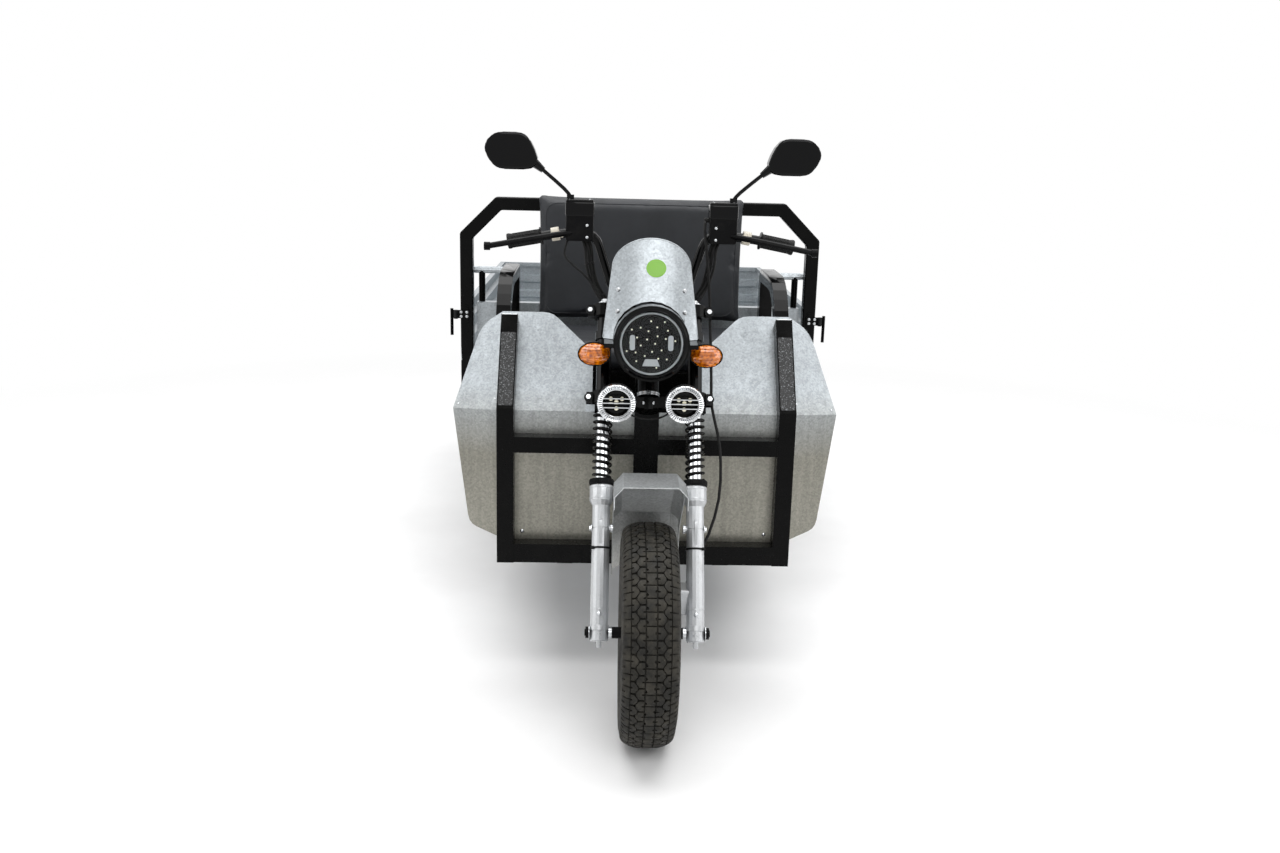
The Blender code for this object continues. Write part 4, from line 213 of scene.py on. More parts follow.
def grit_tape():
    """Anti-slip tape of black mineral grit. The eye sees a dark, rough face in which single grains are
    painted light grey, as painted glints. The grit is drawn at about twice its real 1 mm, to show."""
    grit, hollow = 1.92, 1.43
    material, tree, shader = base_material("grit_tape", "0c0d0e", 0.55)
    place = object_space(tree)
    cells = node(tree, "TexVoronoi", {"Vector": place, "Scale": per_metre(grit)})["Color"]
    grain = node(tree, "SeparateColor", {"Color": cells})
    # Painted glints: a few grains are coloured light grey
    painted_glints = node(tree, "ValToRGB", {"Fac": grain["Red"]},
                  [(0.74, "08090a"), (0.86, "2a2c2e"), (1.0, "84878a")])
    tree.links.new(painted_glints["Color"], shader.inputs["Base Color"])
    gloss = node(tree, "ValToRGB", {"Fac": grain["Green"]}, [(0.0, 0.25), (1.0, 0.75)])
    tree.links.new(gloss["Color"], shader.inputs["Roughness"])
    relief(tree, shader, place, hollow, 3, 0.8, 0.0008)
    return material


def rubber(name, colour, dust, amount):
    """Moulded rubber. The eye sees a dull near-black with road dust in patches. Its skin is drawn at
    about three times its real 0.5 mm, to show."""
    skin, dust_patch, gloss_patch = 1.67, 38.5, 16.7
    material, tree, shader = base_material(name, colour, 0.72, Specular_IOR_Level=0.25)
    place = object_space(tree)
    soil(tree, shader, place, dust_patch, [(0.42, 0.0), (0.75, amount)], linear(colour), dust)
    wander(tree, shader, place, gloss_patch, [(0.2, 0.55), (0.8, 0.86)], 5)
    relief(tree, shader, place, skin, 3, 0.25, 0.0004)
    return material


def vinyl():
    """Upholstery vinyl, pressed with a leather grain. The eye sees soft charcoal folds whose gloss is
    worn in places. The grain is drawn at about one and a half times its real 1.3 mm, to show."""
    pebble, wear_patch, gloss_patch = 1.92, 167, 45.5
    material, tree, shader = base_material("seat_vinyl", "232528", 0.50, Specular_IOR_Level=0.35)
    place = object_space(tree)
    wear = mottle(tree, place, wear_patch, [(0.35, "1f2124"), (0.75, "2b2d31")], 5)
    tree.links.new(wear, shader.inputs["Base Color"])
    wander(tree, shader, place, gloss_patch, [(0.2, 0.42), (0.8, 0.60)], 5)
    valleys = node(tree, "TexVoronoi", {"Vector": place, "Scale": per_metre(pebble)},
                   feature="DISTANCE_TO_EDGE")
    grain = node(tree, "ValToRGB", {"Fac": valleys["Distance"]}, [(0.0, 0.0), (0.25, 1.0)])["Color"]
    bump = node(tree, "Bump", {"Height": grain, "Strength": 0.35, "Distance": 0.0003})
    tree.links.new(bump["Normal"], shader.inputs["Normal"])
    return material


def silver_paint():
    """Aluminium paint sprayed on castings and pressed rims. The eye sees a grey sparkle under a thin
    clear coat, dirt in patches and the casting's skin. The flake is drawn at 1.1 mm, to show."""
    flake, dirt_patch, gloss_patch, skin = 1.11, 41.7, 25, 6.25
    material, tree, shader = base_material("silver_paint", "b9bbbd", 0.38, 0.55, Coat_Weight=0.2)
    place = object_space(tree)
    sparkle = mottle(tree, place, flake, [(0.3, "a9abad"), (0.7, "c6c8ca")], 2)
    soil(tree, shader, place, dirt_patch, [(0.55, 0.0), (0.80, 0.35)], sparkle, "5d5c5a")
    wander(tree, shader, place, gloss_patch, [(0.2, 0.30), (0.8, 0.48)], 5)
    relief(tree, shader, place, skin, 3, 0.12, 0.0006)
    return material


def polished(name, colour="dfe1e3", roughness=0.08, smear=0.12):
    """Plated, turned or silvered metal. The eye sees a clear reflection with faint finger smears."""
    smear_size, tint_size = 20, 33.3
    material, tree, shader = base_material(name, colour, roughness, 1.0)
    place = object_space(tree)
    wander(tree, shader, place, smear_size, [(0.35, roughness), (0.85, roughness + smear)], 6)
    tint = mottle(tree, place, tint_size, [(0.3, colour), (0.9, "b4b6b8")])
    tree.links.new(tint, shader.inputs["Base Color"])
    return material


def plastic(name, colour, roughness, coat, grain=2.0, depth=0.12, shine=0.5, painted_glow=0.0):
    """Moulded ABS. The eye sees one even colour with a faint grain, drawn at about twice its real
    size, to show. A glow is painted light, which brightens diodes that are not lit."""
    gloss_patch = 25
    material, tree, shader = base_material(name, colour, roughness, Coat_Weight=coat, Coat_Roughness=0.08,
                                           Specular_IOR_Level=shine, Emission_Color=linear(colour),
                                           Emission_Strength=painted_glow)
    place = object_space(tree)
    wander(tree, shader, place, gloss_patch, [(0.2, max(0.04, roughness - 0.05)), (0.8, roughness + 0.1)], 5)
    relief(tree, shader, place, grain, 2, depth, 0.0003)
    return material


def lens(name, colour, deep):
    """Coloured acrylic, moulded with optics. The eye sees facets of 8 mm that are darker in their
    depth, behind a glossy face."""
    facet, shade_patch = 7.7, 16.7
    material, tree, shader = base_material(name, colour, 0.08, Coat_Weight=1.0, Coat_Roughness=0.03)
    place = object_space(tree)
    facets = node(tree, "TexVoronoi", {"Vector": place, "Scale": per_metre(facet)},
                  feature="SMOOTH_F1")["Distance"]
    depth = node(tree, "ValToRGB", {"Fac": facets}, [(0.15, deep), (0.55, colour)])["Color"]
    shaded = mottle(tree, place, shade_patch, [(0.4, 0.0), (0.7, 0.7)])
    tone = node(tree, "Mix", {SHARE: shaded, UNDER: depth, OVER: linear(deep)}, data_type="RGBA")
    tree.links.new(tone[MIXED], shader.inputs["Base Color"])
    bump = node(tree, "Bump", {"Height": facets, "Strength": 0.35, "Distance": 0.0015})
    tree.links.new(bump["Normal"], shader.inputs["Normal"])
    return material


def clear_lens():
    """Clear moulded polycarbonate. The eye sees through it with a faint reflection, because its IOR is
    lowered from 1.58, so that the dark bowl behind it shows."""
    smear_size = 40
    material, tree, shader = base_material("clear_lens", "f4f7f8", 0.03, Transmission_Weight=1.0, IOR=1.18)
    wander(tree, shader, object_space(tree), smear_size, [(0.4, 0.02), (0.8, 0.08)], 4)
    return material


GALVANISED = galvanised("galvanised_sheet")
# Painted shade: the shield's zinc is darker towards its lower end, where the upright sheets catch less light
# than the sloping sheets above them
SHIELD_ZINC = galvanised("galvanised_shield", low=(0.55, 0.72, "9a988e"), streaks=0.22)
FENDER_ZINC = galvanised("galvanised_fender", "d2d5d6", low=(0.30, 0.52, "b4b4b0"))
ENAMEL = enamel("black_enamel")
ENAMEL_SATIN = enamel("black_satin", "040405", 0.40, 0.03)
GLOSS = enamel("black_gloss", "010101", 0.13, 0.004, 0.14)
TAPE = grit_tape()
TYRE = rubber("tyre_rubber", "1c1b18", "5b564b", 0.40)
HOSE = rubber("hose_rubber", "0b0b0b", "2b2a28", 0.2)
GRIP = rubber("grip_rubber", "0c0c0c", "242322", 0.2)
VINYL = vinyl()
SILVER = silver_paint()
CHROME = polished("chrome_plate")
# Zinc plate and turned steel blur what they mirror, and silvered glass keeps it sharp
ZINC = polished("zinc_bolt", "c9ccce", 0.22, 0.2)
DISC_STEEL = polished("disc_steel", "b5b7b9", 0.24, 0.15)
MIRROR_GLASS = polished("mirror_glass", "e6e8ea", 0.02, 0.03)
AMBER = lens("amber_lens", "f48a0a", "8f3c00")
RED = lens("red_lens", "c01414", "560404")
CLEAR = clear_lens()
BLACK_PLASTIC = plastic("gloss_black_plastic", "020203", 0.10, 0.0, depth=0.02, shine=0.15)
MATT_PLASTIC = plastic("matt_black_plastic", "0a0b0c", 0.5, 0.0, 2.86, 0.4, 0.2)
DARK_BOWL = plastic("smoked_reflector", "050606", 0.22, 0.0, shine=0.15)
CREAM = plastic("cream_alloy", "c9c2b2", 0.35, 0.2)
# The diodes glow with painted light; they are not lit
LED = plastic("diode_lens", "f4efd8", 0.15, 0.6, painted_glow=0.45)
RING_LIGHT = plastic("ring_diffuser", "b4b6b8", 0.35, 0.2)
BATTERY = plastic("battery_case", "2c2d2f", 0.45, 0.1)
GREEN_DOT = plastic("green_dot", "74ad2a", 0.4, 0.2)

# Looks of the nodes that are carried over from the CAD model
LOOKS = (
    (GALVANISED, "bed_floor bed_front_board floor_plate side_board_left side_board_right tailgate cowl"),
    (SHIELD_ZINC, "shield_sheet_left shield_sheet_right"),
    (FENDER_ZINC, "front_fender"),
    (ENAMEL, "bed_frame bed_hoop chassis_frame front_frame latch_left latch_right leaf_spring_left "
             "leaf_spring_right mudguard_left mudguard_right rear_axle seat_box lower_yoke upper_yoke"),
    (GLOSS, "armrest_left armrest_right headlamp handlebar fork_tube_left fork_tube_right"),
    (ENAMEL_SATIN, "hand_control_left hand_control_right fork_spring_left fork_spring_right front_axle"),
    (SILVER, "fork_leg_left fork_leg_right front_rim rear_rim_left rear_rim_right"),
    (CHROME, "fog_lamp_left fog_lamp_right"),
    (DISC_STEEL, "brake_disc"),
    (TYRE, "front_tyre rear_tyre_left rear_tyre_right"),
    (HOSE, "brake_hose"),
    (VINYL, "seat_backrest seat_cushion"),
    (AMBER, "indicator_left indicator_right"),
    (RED, "tail_lamp_left tail_lamp_right"),
    (BLACK_PLASTIC, "mirror_left mirror_right"),
    (BATTERY, "battery_pack"),
)
for look, names in LOOKS:
    for name in names.split():
        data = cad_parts[name].data
        data.materials.clear()
        data.materials.append(look)

# The record's slot for each look
SLOTS = {look: slot for slot, looks in {
    "galvanised_steel": (GALVANISED, SHIELD_ZINC, FENDER_ZINC, ZINC, GREEN_DOT),
    "black_enamel": (ENAMEL, ENAMEL_SATIN, GLOSS, TAPE),
    "silver_paint": (SILVER, CREAM),
    "chrome": (CHROME, DISC_STEEL, MIRROR_GLASS, CLEAR, LED, RING_LIGHT),
    "tyre_rubber": (TYRE,),
    "hose_rubber": (HOSE, GRIP),
    "vinyl": (VINYL,),
    "amber_lens": (AMBER,),
    "red_lens": (RED,),
    "black_plastic": (BLACK_PLASTIC, MATT_PLASTIC, DARK_BOWL),
    "battery_case": (BATTERY,),
}.items() for look in looks}


# Making pieces

SAME_SPOT = 0.000001

def new_object(name, bm):
    """Turn a bmesh into an object of the scene."""
    mesh = bpy.data.meshes.new(name)
    bm.to_mesh(mesh)
    bm.free()
    obj = bpy.data.objects.new(name, mesh)
    bpy.context.scene.collection.objects.link(obj)
    return obj


def piece(name, bm, look, body, replaced=(), sharp=35.0):
    """Turn a bmesh into a piece with its look and the body that it rides."""
    bmesh.ops.recalc_face_normals(bm, faces=bm.faces)
    obj = new_object(name, bm)
    obj.data.materials.append(look)
    obj.data.shade_smooth()
    obj.data.set_sharp_from_angle(angle=math.radians(sharp))
    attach(obj, body)
    if replaced:
        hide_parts(*replaced)
    return obj


def basis(axis, up):
    """A turn whose Z is the axis and whose Y is near up."""
    along = Vector(axis).normalized()
    across = up.cross(along)
    if across.length < 0.001:
        across = along.orthogonal()
    across.normalize()
    return Matrix((across, along.cross(across), along)).transposed()


def stand(place, axis, up=UP):
    """Moves and turns a shape from the origin, where its axis is Z."""
    return Matrix.Translation(Vector(place)) @ basis(axis, up).to_4x4()


def added(bm, old):
    """The vertices that weren't among the old ones."""
    return [vert for vert in bm.verts if vert not in old]


def revolve(bm, profile, place, axis, steps, stretch=(1, 1), closed=False):
    """Spin a profile of (radius, height) about an axis."""
    old = set(bm.verts)
    verts = [bm.verts.new((radius, 0, height)) for radius, height in profile]
    pairs = list(zip(verts, verts[1:])) + ([(verts[-1], verts[0])] if closed else [])
    edges = [bm.edges.new(pair) for pair in pairs]
    bmesh.ops.spin(bm, geom=verts + edges, cent=(0, 0, 0), axis=(0, 0, 1), dvec=(0, 0, 0), angle=math.tau,
                   steps=steps, use_merge=True)
    bmesh.ops.remove_doubles(bm, verts=added(bm, old), dist=SAME_SPOT)
    place = stand(place, axis) @ Matrix.Diagonal((*stretch, 1, 1))
    bmesh.ops.transform(bm, matrix=place, verts=added(bm, old))


def around(bm, old, steps, place, axis):
    """Copy all but the old vertices round an axis, in even steps."""
    made = added(bm, old)
    geom = made + list({edge for vert in made for edge in vert.link_edges})
    geom += list({face for vert in made for face in vert.link_faces})
    bmesh.ops.spin(bm, geom=geom, cent=place, axis=axis, dvec=(0, 0, 0), angle=math.tau * (steps - 1) / steps,
                   steps=steps - 1, use_duplicate=True, use_merge=False)


def sweep(bm, points, radius, sides, closed=False):
    """Extrude a round section along points; radius may be a list, one for each point."""
    points = [Vector(point) for point in points]
    count = len(points)
    ring = bmesh.ops.create_circle(bm, segments=sides, radius=1, cap_ends=not closed)["verts"]
    loop = list({edge for vert in ring for edge in vert.link_edges})
    first, before, up = loop, Matrix.Identity(4), None
    for index, point in enumerate(points):
        behind = points[index - 1] if index or closed else point
        ahead = points[(index + 1) % count] if index < count - 1 or closed else point
        along = (ahead - behind).normalized()
        up = along.orthogonal() if up is None else up
        up = (up - along * up.dot(along)).normalized()
        size = radius[index] if isinstance(radius, (list, tuple)) else radius
        turn = Matrix((along.cross(up), up, along)).transposed().to_4x4()
        here = Matrix.Translation(point) @ turn @ Matrix.Diagonal((size, size, 1, 1))
        if index:
            made = bmesh.ops.extrude_edge_only(bm, edges=loop)["geom"]
            ring = [item for item in made if isinstance(item, bmesh.types.BMVert)]
            loop = [item for item in made if isinstance(item, bmesh.types.BMEdge)
                    and all(vert in ring for vert in item.verts)]
        bmesh.ops.transform(bm, matrix=here @ before.inverted(), verts=ring)
        before = here
    if closed:
        bmesh.ops.bridge_loops(bm, edges=first + loop)
    else:
        bmesh.ops.contextual_create(bm, geom=loop)


def box(bm, low, high, bevel, segments=2, about=(0, 0, 0)):
    """A block between two corners, given from a spot, with its edges rounded."""
    low, high = Vector(about) + Vector(low), Vector(about) + Vector(high)
    made = bmesh.ops.create_cube(bm, size=1)["verts"]
    place = Matrix.Translation((low + high) / 2) @ Matrix.Diagonal((*(high - low), 1))
    bmesh.ops.transform(bm, matrix=place, verts=made)
    edges = list({edge for vert in made for edge in vert.link_edges})
    bmesh.ops.bevel(bm, geom=edges, offset=bevel, segments=segments, profile=0.5, affect="EDGES",
                    material=-1)


def raise_face(bm, corners, *steps):
    """A closed block: a face through a few corners, extruded by one function of a point after another."""
    face = bm.faces.new([bm.verts.new(corner) for corner in corners])
    for step in steps:
        made = bmesh.ops.extrude_face_region(bm, geom=[face])["geom"]
        face = [item for item in made if isinstance(item, bmesh.types.BMFace)][0]
        for vert in face.verts:
            vert.co = step(vert.co)


def slab(bm, outline, thickness, place, axis, up=UP):
    """A flat outline extruded along an axis."""
    turn = stand(place, axis, up)
    rise = turn.to_3x3() @ Vector((0, 0, thickness))
    raise_face(bm, [turn @ Vector((x, y, 0)) for x, y in outline], lambda spot: spot + rise)


def bolt(bm, place, axis, radius, height, washer):
    """A hexagon head with chamfered corners on a thin washer, whose size is a share of the head."""
    thin = radius * 0.22
    if washer:
        revolve(bm, [(0, 0), (radius * washer, 0), (radius * washer, thin), (0, thin)], place, axis, 20)
    top = height + thin
    head = [(0, 0), (radius, 0), (radius, top - radius * 0.12), (radius * 0.86, top), (0, top)]
    revolve(bm, head, place, axis, 6)


def screw(bm, place, axis, radius):
    """A domed screw with a round recess."""
    revolve(bm, [(0, 0), (radius, 0), (radius * 0.92, radius * 0.30), (radius * 0.60, radius * 0.55),
                 (radius * 0.25, radius * 0.60), (radius * 0.20, radius * 0.32), (0, radius * 0.32)],
            place, axis, 14)


def route(points, steps):
    """A smooth curve through points."""
    ends = [points[0] * 2 - points[1]] + points + [points[-1] * 2 - points[-2]]
    smooth = []
    for before, start, end, after in zip(ends, ends[1:], ends[2:], ends[3:]):
        for step in range(steps):
            t = step / steps
            smooth.append(0.5 * (2 * start + (end - before) * t
                                 + (2 * before - 5 * start + 4 * end - after) * t * t
                                 + (3 * start - before - 3 * end + after) * t ** 3))
    return smooth + [points[-1]]


def band(bm, place, axis, radius, width, thickness, steps=32):
    """A flat ring round a bar, its outer corners chamfered."""
    half, outer, chamfer = width / 2, radius + thickness, thickness / 4
    revolve(bm, [(radius, -half), (outer - chamfer, -half), (outer, chamfer - half), (outer, half - chamfer),
                 (outer - chamfer, half), (radius, half)], place, axis, steps)


def rounded_outline(width, height, corner):
    """A rectangle with round corners, centred."""
    steps, outline = 4, []
    for across, up, start in ((1, 1, 0), (-1, 1, 90), (-1, -1, 180), (1, -1, 270)):
        for step in range(steps + 1):
            angle = math.radians(start + 90 * step / steps)
            outline.append((across * (width / 2 - corner) + corner * math.cos(angle),
                            up * (height / 2 - corner) + corner * math.sin(angle)))
    return outline


def even(outline):
    """A closed outline with its stretches divided every 20 mm or so."""
    longest, spots = 0.02, []
    for start, end in zip(outline, outline[1:] + outline[:1]):
        start, end = Vector(start), Vector(end)
        count = max(1, round((end - start).length / longest))
        spots += [start.lerp(end, part / count) for part in range(count)]
    return spots


def surface(obj):
    """An object's faces, ready for laying small parts on them."""
    return BVHTree.FromObject(obj, bpy.context.evaluated_depsgraph_get())


# Tyres

# The tread's radius at distances from its middle
CROWN = [(0.0, 0.2500), (0.025, 0.2496), (0.040, 0.2455), (0.050, 0.2400), (0.056, 0.2345), (0.0598, 0.2270)]
# Tread pitches round the tyre, depths of its grooves and the slant of its blocks' edges
PITCHES = 54
GROOVE, RIB_GROOVE, CHAMFER = 0.0068, 0.0065, 0.0007
# Half sections, as (radius, distance from the middle)
CARCASS = [(0.1335, 0.0385), (0.1455, 0.0392), (0.1480, 0.0440), (0.1500, 0.0455), (0.1515, 0.0448),
           (0.1560, 0.0490), (0.1580, 0.0512), (0.1600, 0.0506), (0.1750, 0.0588), (0.1917, 0.0618),
           (0.2060, 0.0617), (0.2080, 0.0624), (0.2100, 0.0624), (0.2120, 0.0615), (0.2210, 0.0600),
           (0.2290, 0.0560), (0.2350, 0.0490), (0.2395, 0.0380), (0.2425, 0.0240), (0.2432, 0.0)]
LINING = [(0.2330, 0.0), (0.2290, 0.040), (0.1917, 0.0525), (0.1335, 0.0285)]

# One pitch of the +X half of the tread, in (across, share of a pitch)
RIB_BLOCK = [(-0.0105, 0.03), (0.0105, 0.03), (0.0105, 0.36), (0.0072, 0.43), (0.0072, 0.57),
             (0.0105, 0.64), (0.0105, 0.97), (-0.0105, 0.97), (-0.0105, 0.90), (-0.0072, 0.83),
             (-0.0072, 0.69), (-0.0105, 0.60), (-0.0105, 0.10)]
INNER_BLOCK = [(0.0128, 0.06), (0.0235, 0.06), (0.0300, 0.36), (0.0300, 0.64), (0.0235, 0.94), (0.0128, 0.94),
               (0.0128, 0.58), (0.0180, 0.54), (0.0180, 0.46), (0.0128, 0.42)]
OUTER_BLOCK = [(0.0262, 0.88), (0.0322, 0.62), (0.0345, 0.56), (0.0410, 0.56), (0.0410, 0.92), (0.0368, 0.96),
               (0.0368, 1.04), (0.0410, 1.08), (0.0410, 1.44), (0.0345, 1.44), (0.0322, 1.38), (0.0262, 1.12)]
SHOULDER_BLOCK = [(0.0426, 0.04), (0.0500, 0.04), (0.0562, 0.08), (0.0590, 0.14), (0.0590, 0.40),
                  (0.0530, 0.42), (0.0530, 0.58), (0.0590, 0.60), (0.0590, 0.86), (0.0562, 0.92),
                  (0.0500, 0.96), (0.0426, 0.96)]


def crown(across):
    """The tread's radius at a distance from its middle."""
    across = abs(across)
    for (first, high), (second, low) in zip(CROWN, CROWN[1:]):
        if across <= second:
            return high + (low - high) * (across - first) / (second - first)
    return CROWN[-1][1]


def tread_block(bm, outline, start, depth=GROOVE):
    """A raised block on a wheel whose axle is X, drawn in a little at its top edge."""
    corners = []
    for across, share in outline:
        angle = (start + share) * math.tau / PITCHES
        radius = crown(across) - depth
        corners.append(Vector((across, radius * math.cos(angle), radius * math.sin(angle))))
    middle = sum(corners, Vector()) / len(corners)

    def rise(height, shrink):
        def step(spot):
            out = Vector((0, spot.y, spot.z)).normalized() * height
            return spot + (middle - spot) * shrink + out
        return step
    raise_face(bm, corners, rise(depth - CHAMFER, 0.03), rise(CHAMFER, 0.05))


def tyre(name, centre, body):
    """A moulded tyre: ringed carcass, centre rib and three rows of blocks on each side."""
    bm = bmesh.new()
    tread_block(bm, RIB_BLOCK, 0, RIB_GROOVE)
    for side in (LEFT, RIGHT):
        for outline in (INNER_BLOCK, OUTER_BLOCK, SHOULDER_BLOCK):
            tread_block(bm, [(side * u, v) for u, v in outline], (side == RIGHT) * 0.5)
    around(bm, set(), PITCHES, (0, 0, 0), (1, 0, 0))
    outer = CARCASS + [(radius, -across) for radius, across in reversed(CARCASS[:-1])]
    inner = [(radius, -across) for radius, across in reversed(LINING[1:])] + LINING
    revolve(bm, outer + inner, (0, 0, 0), (1, 0, 0), PITCHES * 2, closed=True)
    bmesh.ops.translate(bm, vec=centre, verts=bm.verts)
    piece(name + "_moulded", bm, TYRE, body, (name,), 40.0)


def tyres():
    tyre("front_tyre", at(0, 0, TYRE_R), "front_wheel")
    for side, word in SIDES:
        tyre("rear_tyre_" + word, at(side * REAR_WHEEL_AT, REAR_AXLE, TYRE_R), "rear_wheel_" + word)


# Fork and front wheel

def coil(side, word):
    """A smooth spring round the chrome stanchion, turn by turn like its solid."""
    turns, steps = 10, 20
    foot, top, radius, wire = 0.3538, 0.5125, 0.0203, 0.0032
    points = []
    for step in range(turns * steps + 1):
        angle = side * math.tau * step / steps
        points.append(fork(side * FORK_HALF + radius * math.cos(angle), radius * math.sin(angle),
                           foot + (top - foot) * step / (turns * steps)))
    bm = bmesh.new()
    sweep(bm, points, wire, 8)
    piece(f"fork_coil_{word}", bm, GLOSS, "steering", (f"fork_spring_{word}",))


def fork_dress(side, word):
    """Chrome on the stanchion, and collars at both ends of the spring, the lower one knurled."""
    foot = fork(side * FORK_HALF, 0, 0)
    bm = bmesh.new()
    revolve(bm, [(0.0152, 0.352), (0.0156, 0.356), (0.0156, 0.513), (0.0152, 0.5155)], foot, ALONG, 32)
    piece(f"stanchion_sleeve_{word}", bm, CHROME, "steering")
    knurls = 36
    bm = bmesh.new()
    sweep(bm, [fork(side * FORK_HALF + 0.0284, 0, along) for along in (0.3392, 0.3478)], 0.0007, 5)
    around(bm, set(), knurls, foot, ALONG)
    revolve(bm, [(0.0277, 0.3375), (0.0284, 0.3390), (0.0284, 0.3480), (0.0277, 0.3500)], foot, ALONG, 48)
    revolve(bm, [(0.0240, 0.5140), (0.0262, 0.5150), (0.0262, 0.5280), (0.0240, 0.5290)], foot, ALONG, 40)
    piece(f"spring_collars_{word}", bm, ENAMEL_SATIN, "steering")


def leg_dress(side, word):
    """Gusset and machined rings of the cast leg, its bolts and tie, and the spacers on the axle."""
    out, leg, axle = Vector((side, 0, 0)), side * FORK_HALF, at(0, 0, TYRE_R)
    bm = bmesh.new()
    # In (behind, along) of the fork
    gusset = [(-0.0195, 0.196), (-0.0275, 0.222), (-0.0330, 0.236), (-0.0330, 0.250), (-0.0195, 0.256)]
    half = Vector((0.0032, 0, 0))
    raise_face(bm, [fork(leg, behind, along) - half for behind, along in gusset],
               lambda spot: spot + half * 2)
    for along, radius, width, thickness in ((0.010, 0.0204, 0.012, 0.0022), (0.052, 0.0204, 0.003, 0.0008),
                                            (0.306, 0.0271, 0.004, 0.0008), (0.331, 0.0271, 0.005, 0.0008)):
        band(bm, fork(leg, 0, along), ALONG, radius, width, thickness)
    box(bm, at(leg - 0.006, -0.0220, 0.222), at(leg + 0.006, -0.0150, 0.256), 0.002)
    piece(f"fork_leg_casting_{word}", bm, SILVER, "steering")
    bm = bmesh.new()
    bolt(bm, fork(side * 0.1290, 0, 0.237), out, 0.0062, 0.0045, 1.5)
    revolve(bm, [(0.0085, 0), (0.0100, 0.0006), (0.0100, 0.0060), (0.0085, 0.0066)],
            fork(side * 0.0800, 0, 0.237), out, 20)
    screw(bm, fork(leg, -0.0206, 0.040), AHEAD, 0.0052)
    piece(f"fork_leg_bolts_{word}", bm, ZINC, "steering")
    bm = bmesh.new()
    revolve(bm, [(0.0078, 0.0490), (0.0118, 0.0490), (0.0124, 0.0496), (0.0124, 0.0560), (0.0108, 0.0570),
                 (0.0108, 0.0790), (0.0132, 0.0800), (0.0132, 0.0872), (0.0078, 0.0872)],
            axle, out, 28, closed=True)
    revolve(bm, [(0.0090, 0.1295), (0.0168, 0.1295), (0.0172, 0.1300), (0.0172, 0.1312), (0.0090, 0.1316)],
            axle, out, 28)
    piece(f"axle_spacer_{word}", bm, ZINC, "steering")
    bm = bmesh.new()
    band(bm, fork(leg, 0, 0.190), ALONG, 0.0206, 0.0045, 0.0014)
    box(bm, (-0.004, -0.004, -0.003), (0.004, 0.004, 0.003), 0.0008,
        about=fork(leg + side * 0.018, -0.014, 0.190))
    piece(f"cable_tie_{word}", bm, MATT_PLASTIC, "steering")


def on_wheel(centre, across, radius, angle):
    """A point across from a wheel's middle plane, and out from its axle at an angle."""
    return centre + Vector((across, radius * math.cos(angle), radius * math.sin(angle)))


def bolt_circle(bm, centre, side, across, radius, count, *sizes):
    """Bolts in a ring about a wheel's axle, on one of its sides."""
    for turn in range(count):
        spot = on_wheel(centre, side * across, radius, math.tau * turn / count)
        bolt(bm, spot, Vector((side, 0, 0)), *sizes)


def hub_dress():
    """Seals on the front hub, and the bolts of the brake disc."""
    axle = at(0, 0, TYRE_R)
    bm = bmesh.new()
    for side in (LEFT, RIGHT):
        revolve(bm, [(0.0140, 0.0478), (0.0220, 0.0478), (0.0225, 0.0484), (0.0140, 0.0487)], axle,
                Vector((side, 0, 0)), 32)
    piece("front_hub_seals", bm, MATT_PLASTIC, "front_wheel")
    bm = bmesh.new()
    bolt_circle(bm, axle, LEFT, 0.0523, 0.026, 5, 0.0036, 0.0030, 1.2)
    piece("brake_disc_bolts", bm, ZINC, "front_wheel")


def rim_dress(name, centre, body):
    """A bead round the rim's lip on both sides, and the valve."""
    lip_at, lip_radius, steps = 0.0432, 0.1434, 96
    bm = bmesh.new()
    for side in (LEFT, RIGHT):
        lip = [on_wheel(centre, side * lip_at, lip_radius, math.tau * step / steps) for step in range(steps)]
        sweep(bm, lip, 0.0016, 6, closed=True)
    piece(name + "_lip_bead", bm, SILVER, body)
    bm = bmesh.new()
    stem = (0.030, 0, 0.108), (0.038, 0, 0.098), (0.048, 0, 0.088)
    foot, neck, end = [centre + Vector(spot) for spot in stem]
    sweep(bm, [foot, neck], [0.0048, 0.0034], 10)
    sweep(bm, [neck, end], 0.0030, 10)
    piece(name + "_valve", bm, GRIP, body)


def yoke_dress():
    """Clamp bolts and leg caps of the yokes, the bearing cups between them and a cable guide."""
    black, bright = bmesh.new(), bmesh.new()
    for side in (LEFT, RIGHT):
        clamps = [(fork(side * 0.1430, -0.0104, along), 0.0105, 0.0018, 24, 0.0066, 0.0052)
                  for along in (LOWER_YOKE, UPPER_YOKE)]
        clamps.append((fork(side * 0.0135, 0.0345, LOWER_YOKE), 0.0078, 0.0014, 20, 0.0048, 0.0040))
        for place, washer, thick, steps, radius, height in clamps:
            revolve(black, [(0, 0), (washer, 0), (washer, thick), (0, thick)], place, AHEAD, steps)
            bolt(bright, place + AHEAD * thick, AHEAD, radius, height, 0)
        cap, top = fork(side * FORK_HALF, 0, 0.779), 0.0072
        revolve(bright, [(0.0120, 0), (0.0150, 0.0006), (0.0150, 0.0060), (0.0135, top)], cap, ALONG, 24)
        revolve(bright, [(0, top), (0.0135, top)], cap, ALONG, 24)
        bolt(bright, cap + ALONG * top, ALONG, 0.0085, 0.0060, 0)
    piece("yoke_washers", black, MATT_PLASTIC, "steering")
    piece("yoke_bolts", bright, ZINC, "steering")
    bm = bmesh.new()
    for along, radius in ((0.569, 0.0260), (0.573, 0.0272), (0.738, 0.0260)):
        band(bm, fork(0, FORK_OFFSET, along), ALONG, radius, 0.004, 0.0012, 36)
    piece("head_bearing_cups", bm, DISC_STEEL, "chassis")
    bm = bmesh.new()
    box(bm, at(-0.150, 0.2235, 0.7070), at(-0.128, 0.2255, 0.7240), 0.0006)
    piece("cable_guide_tab", bm, GALVANISED, "steering")


# Lamps and cowl

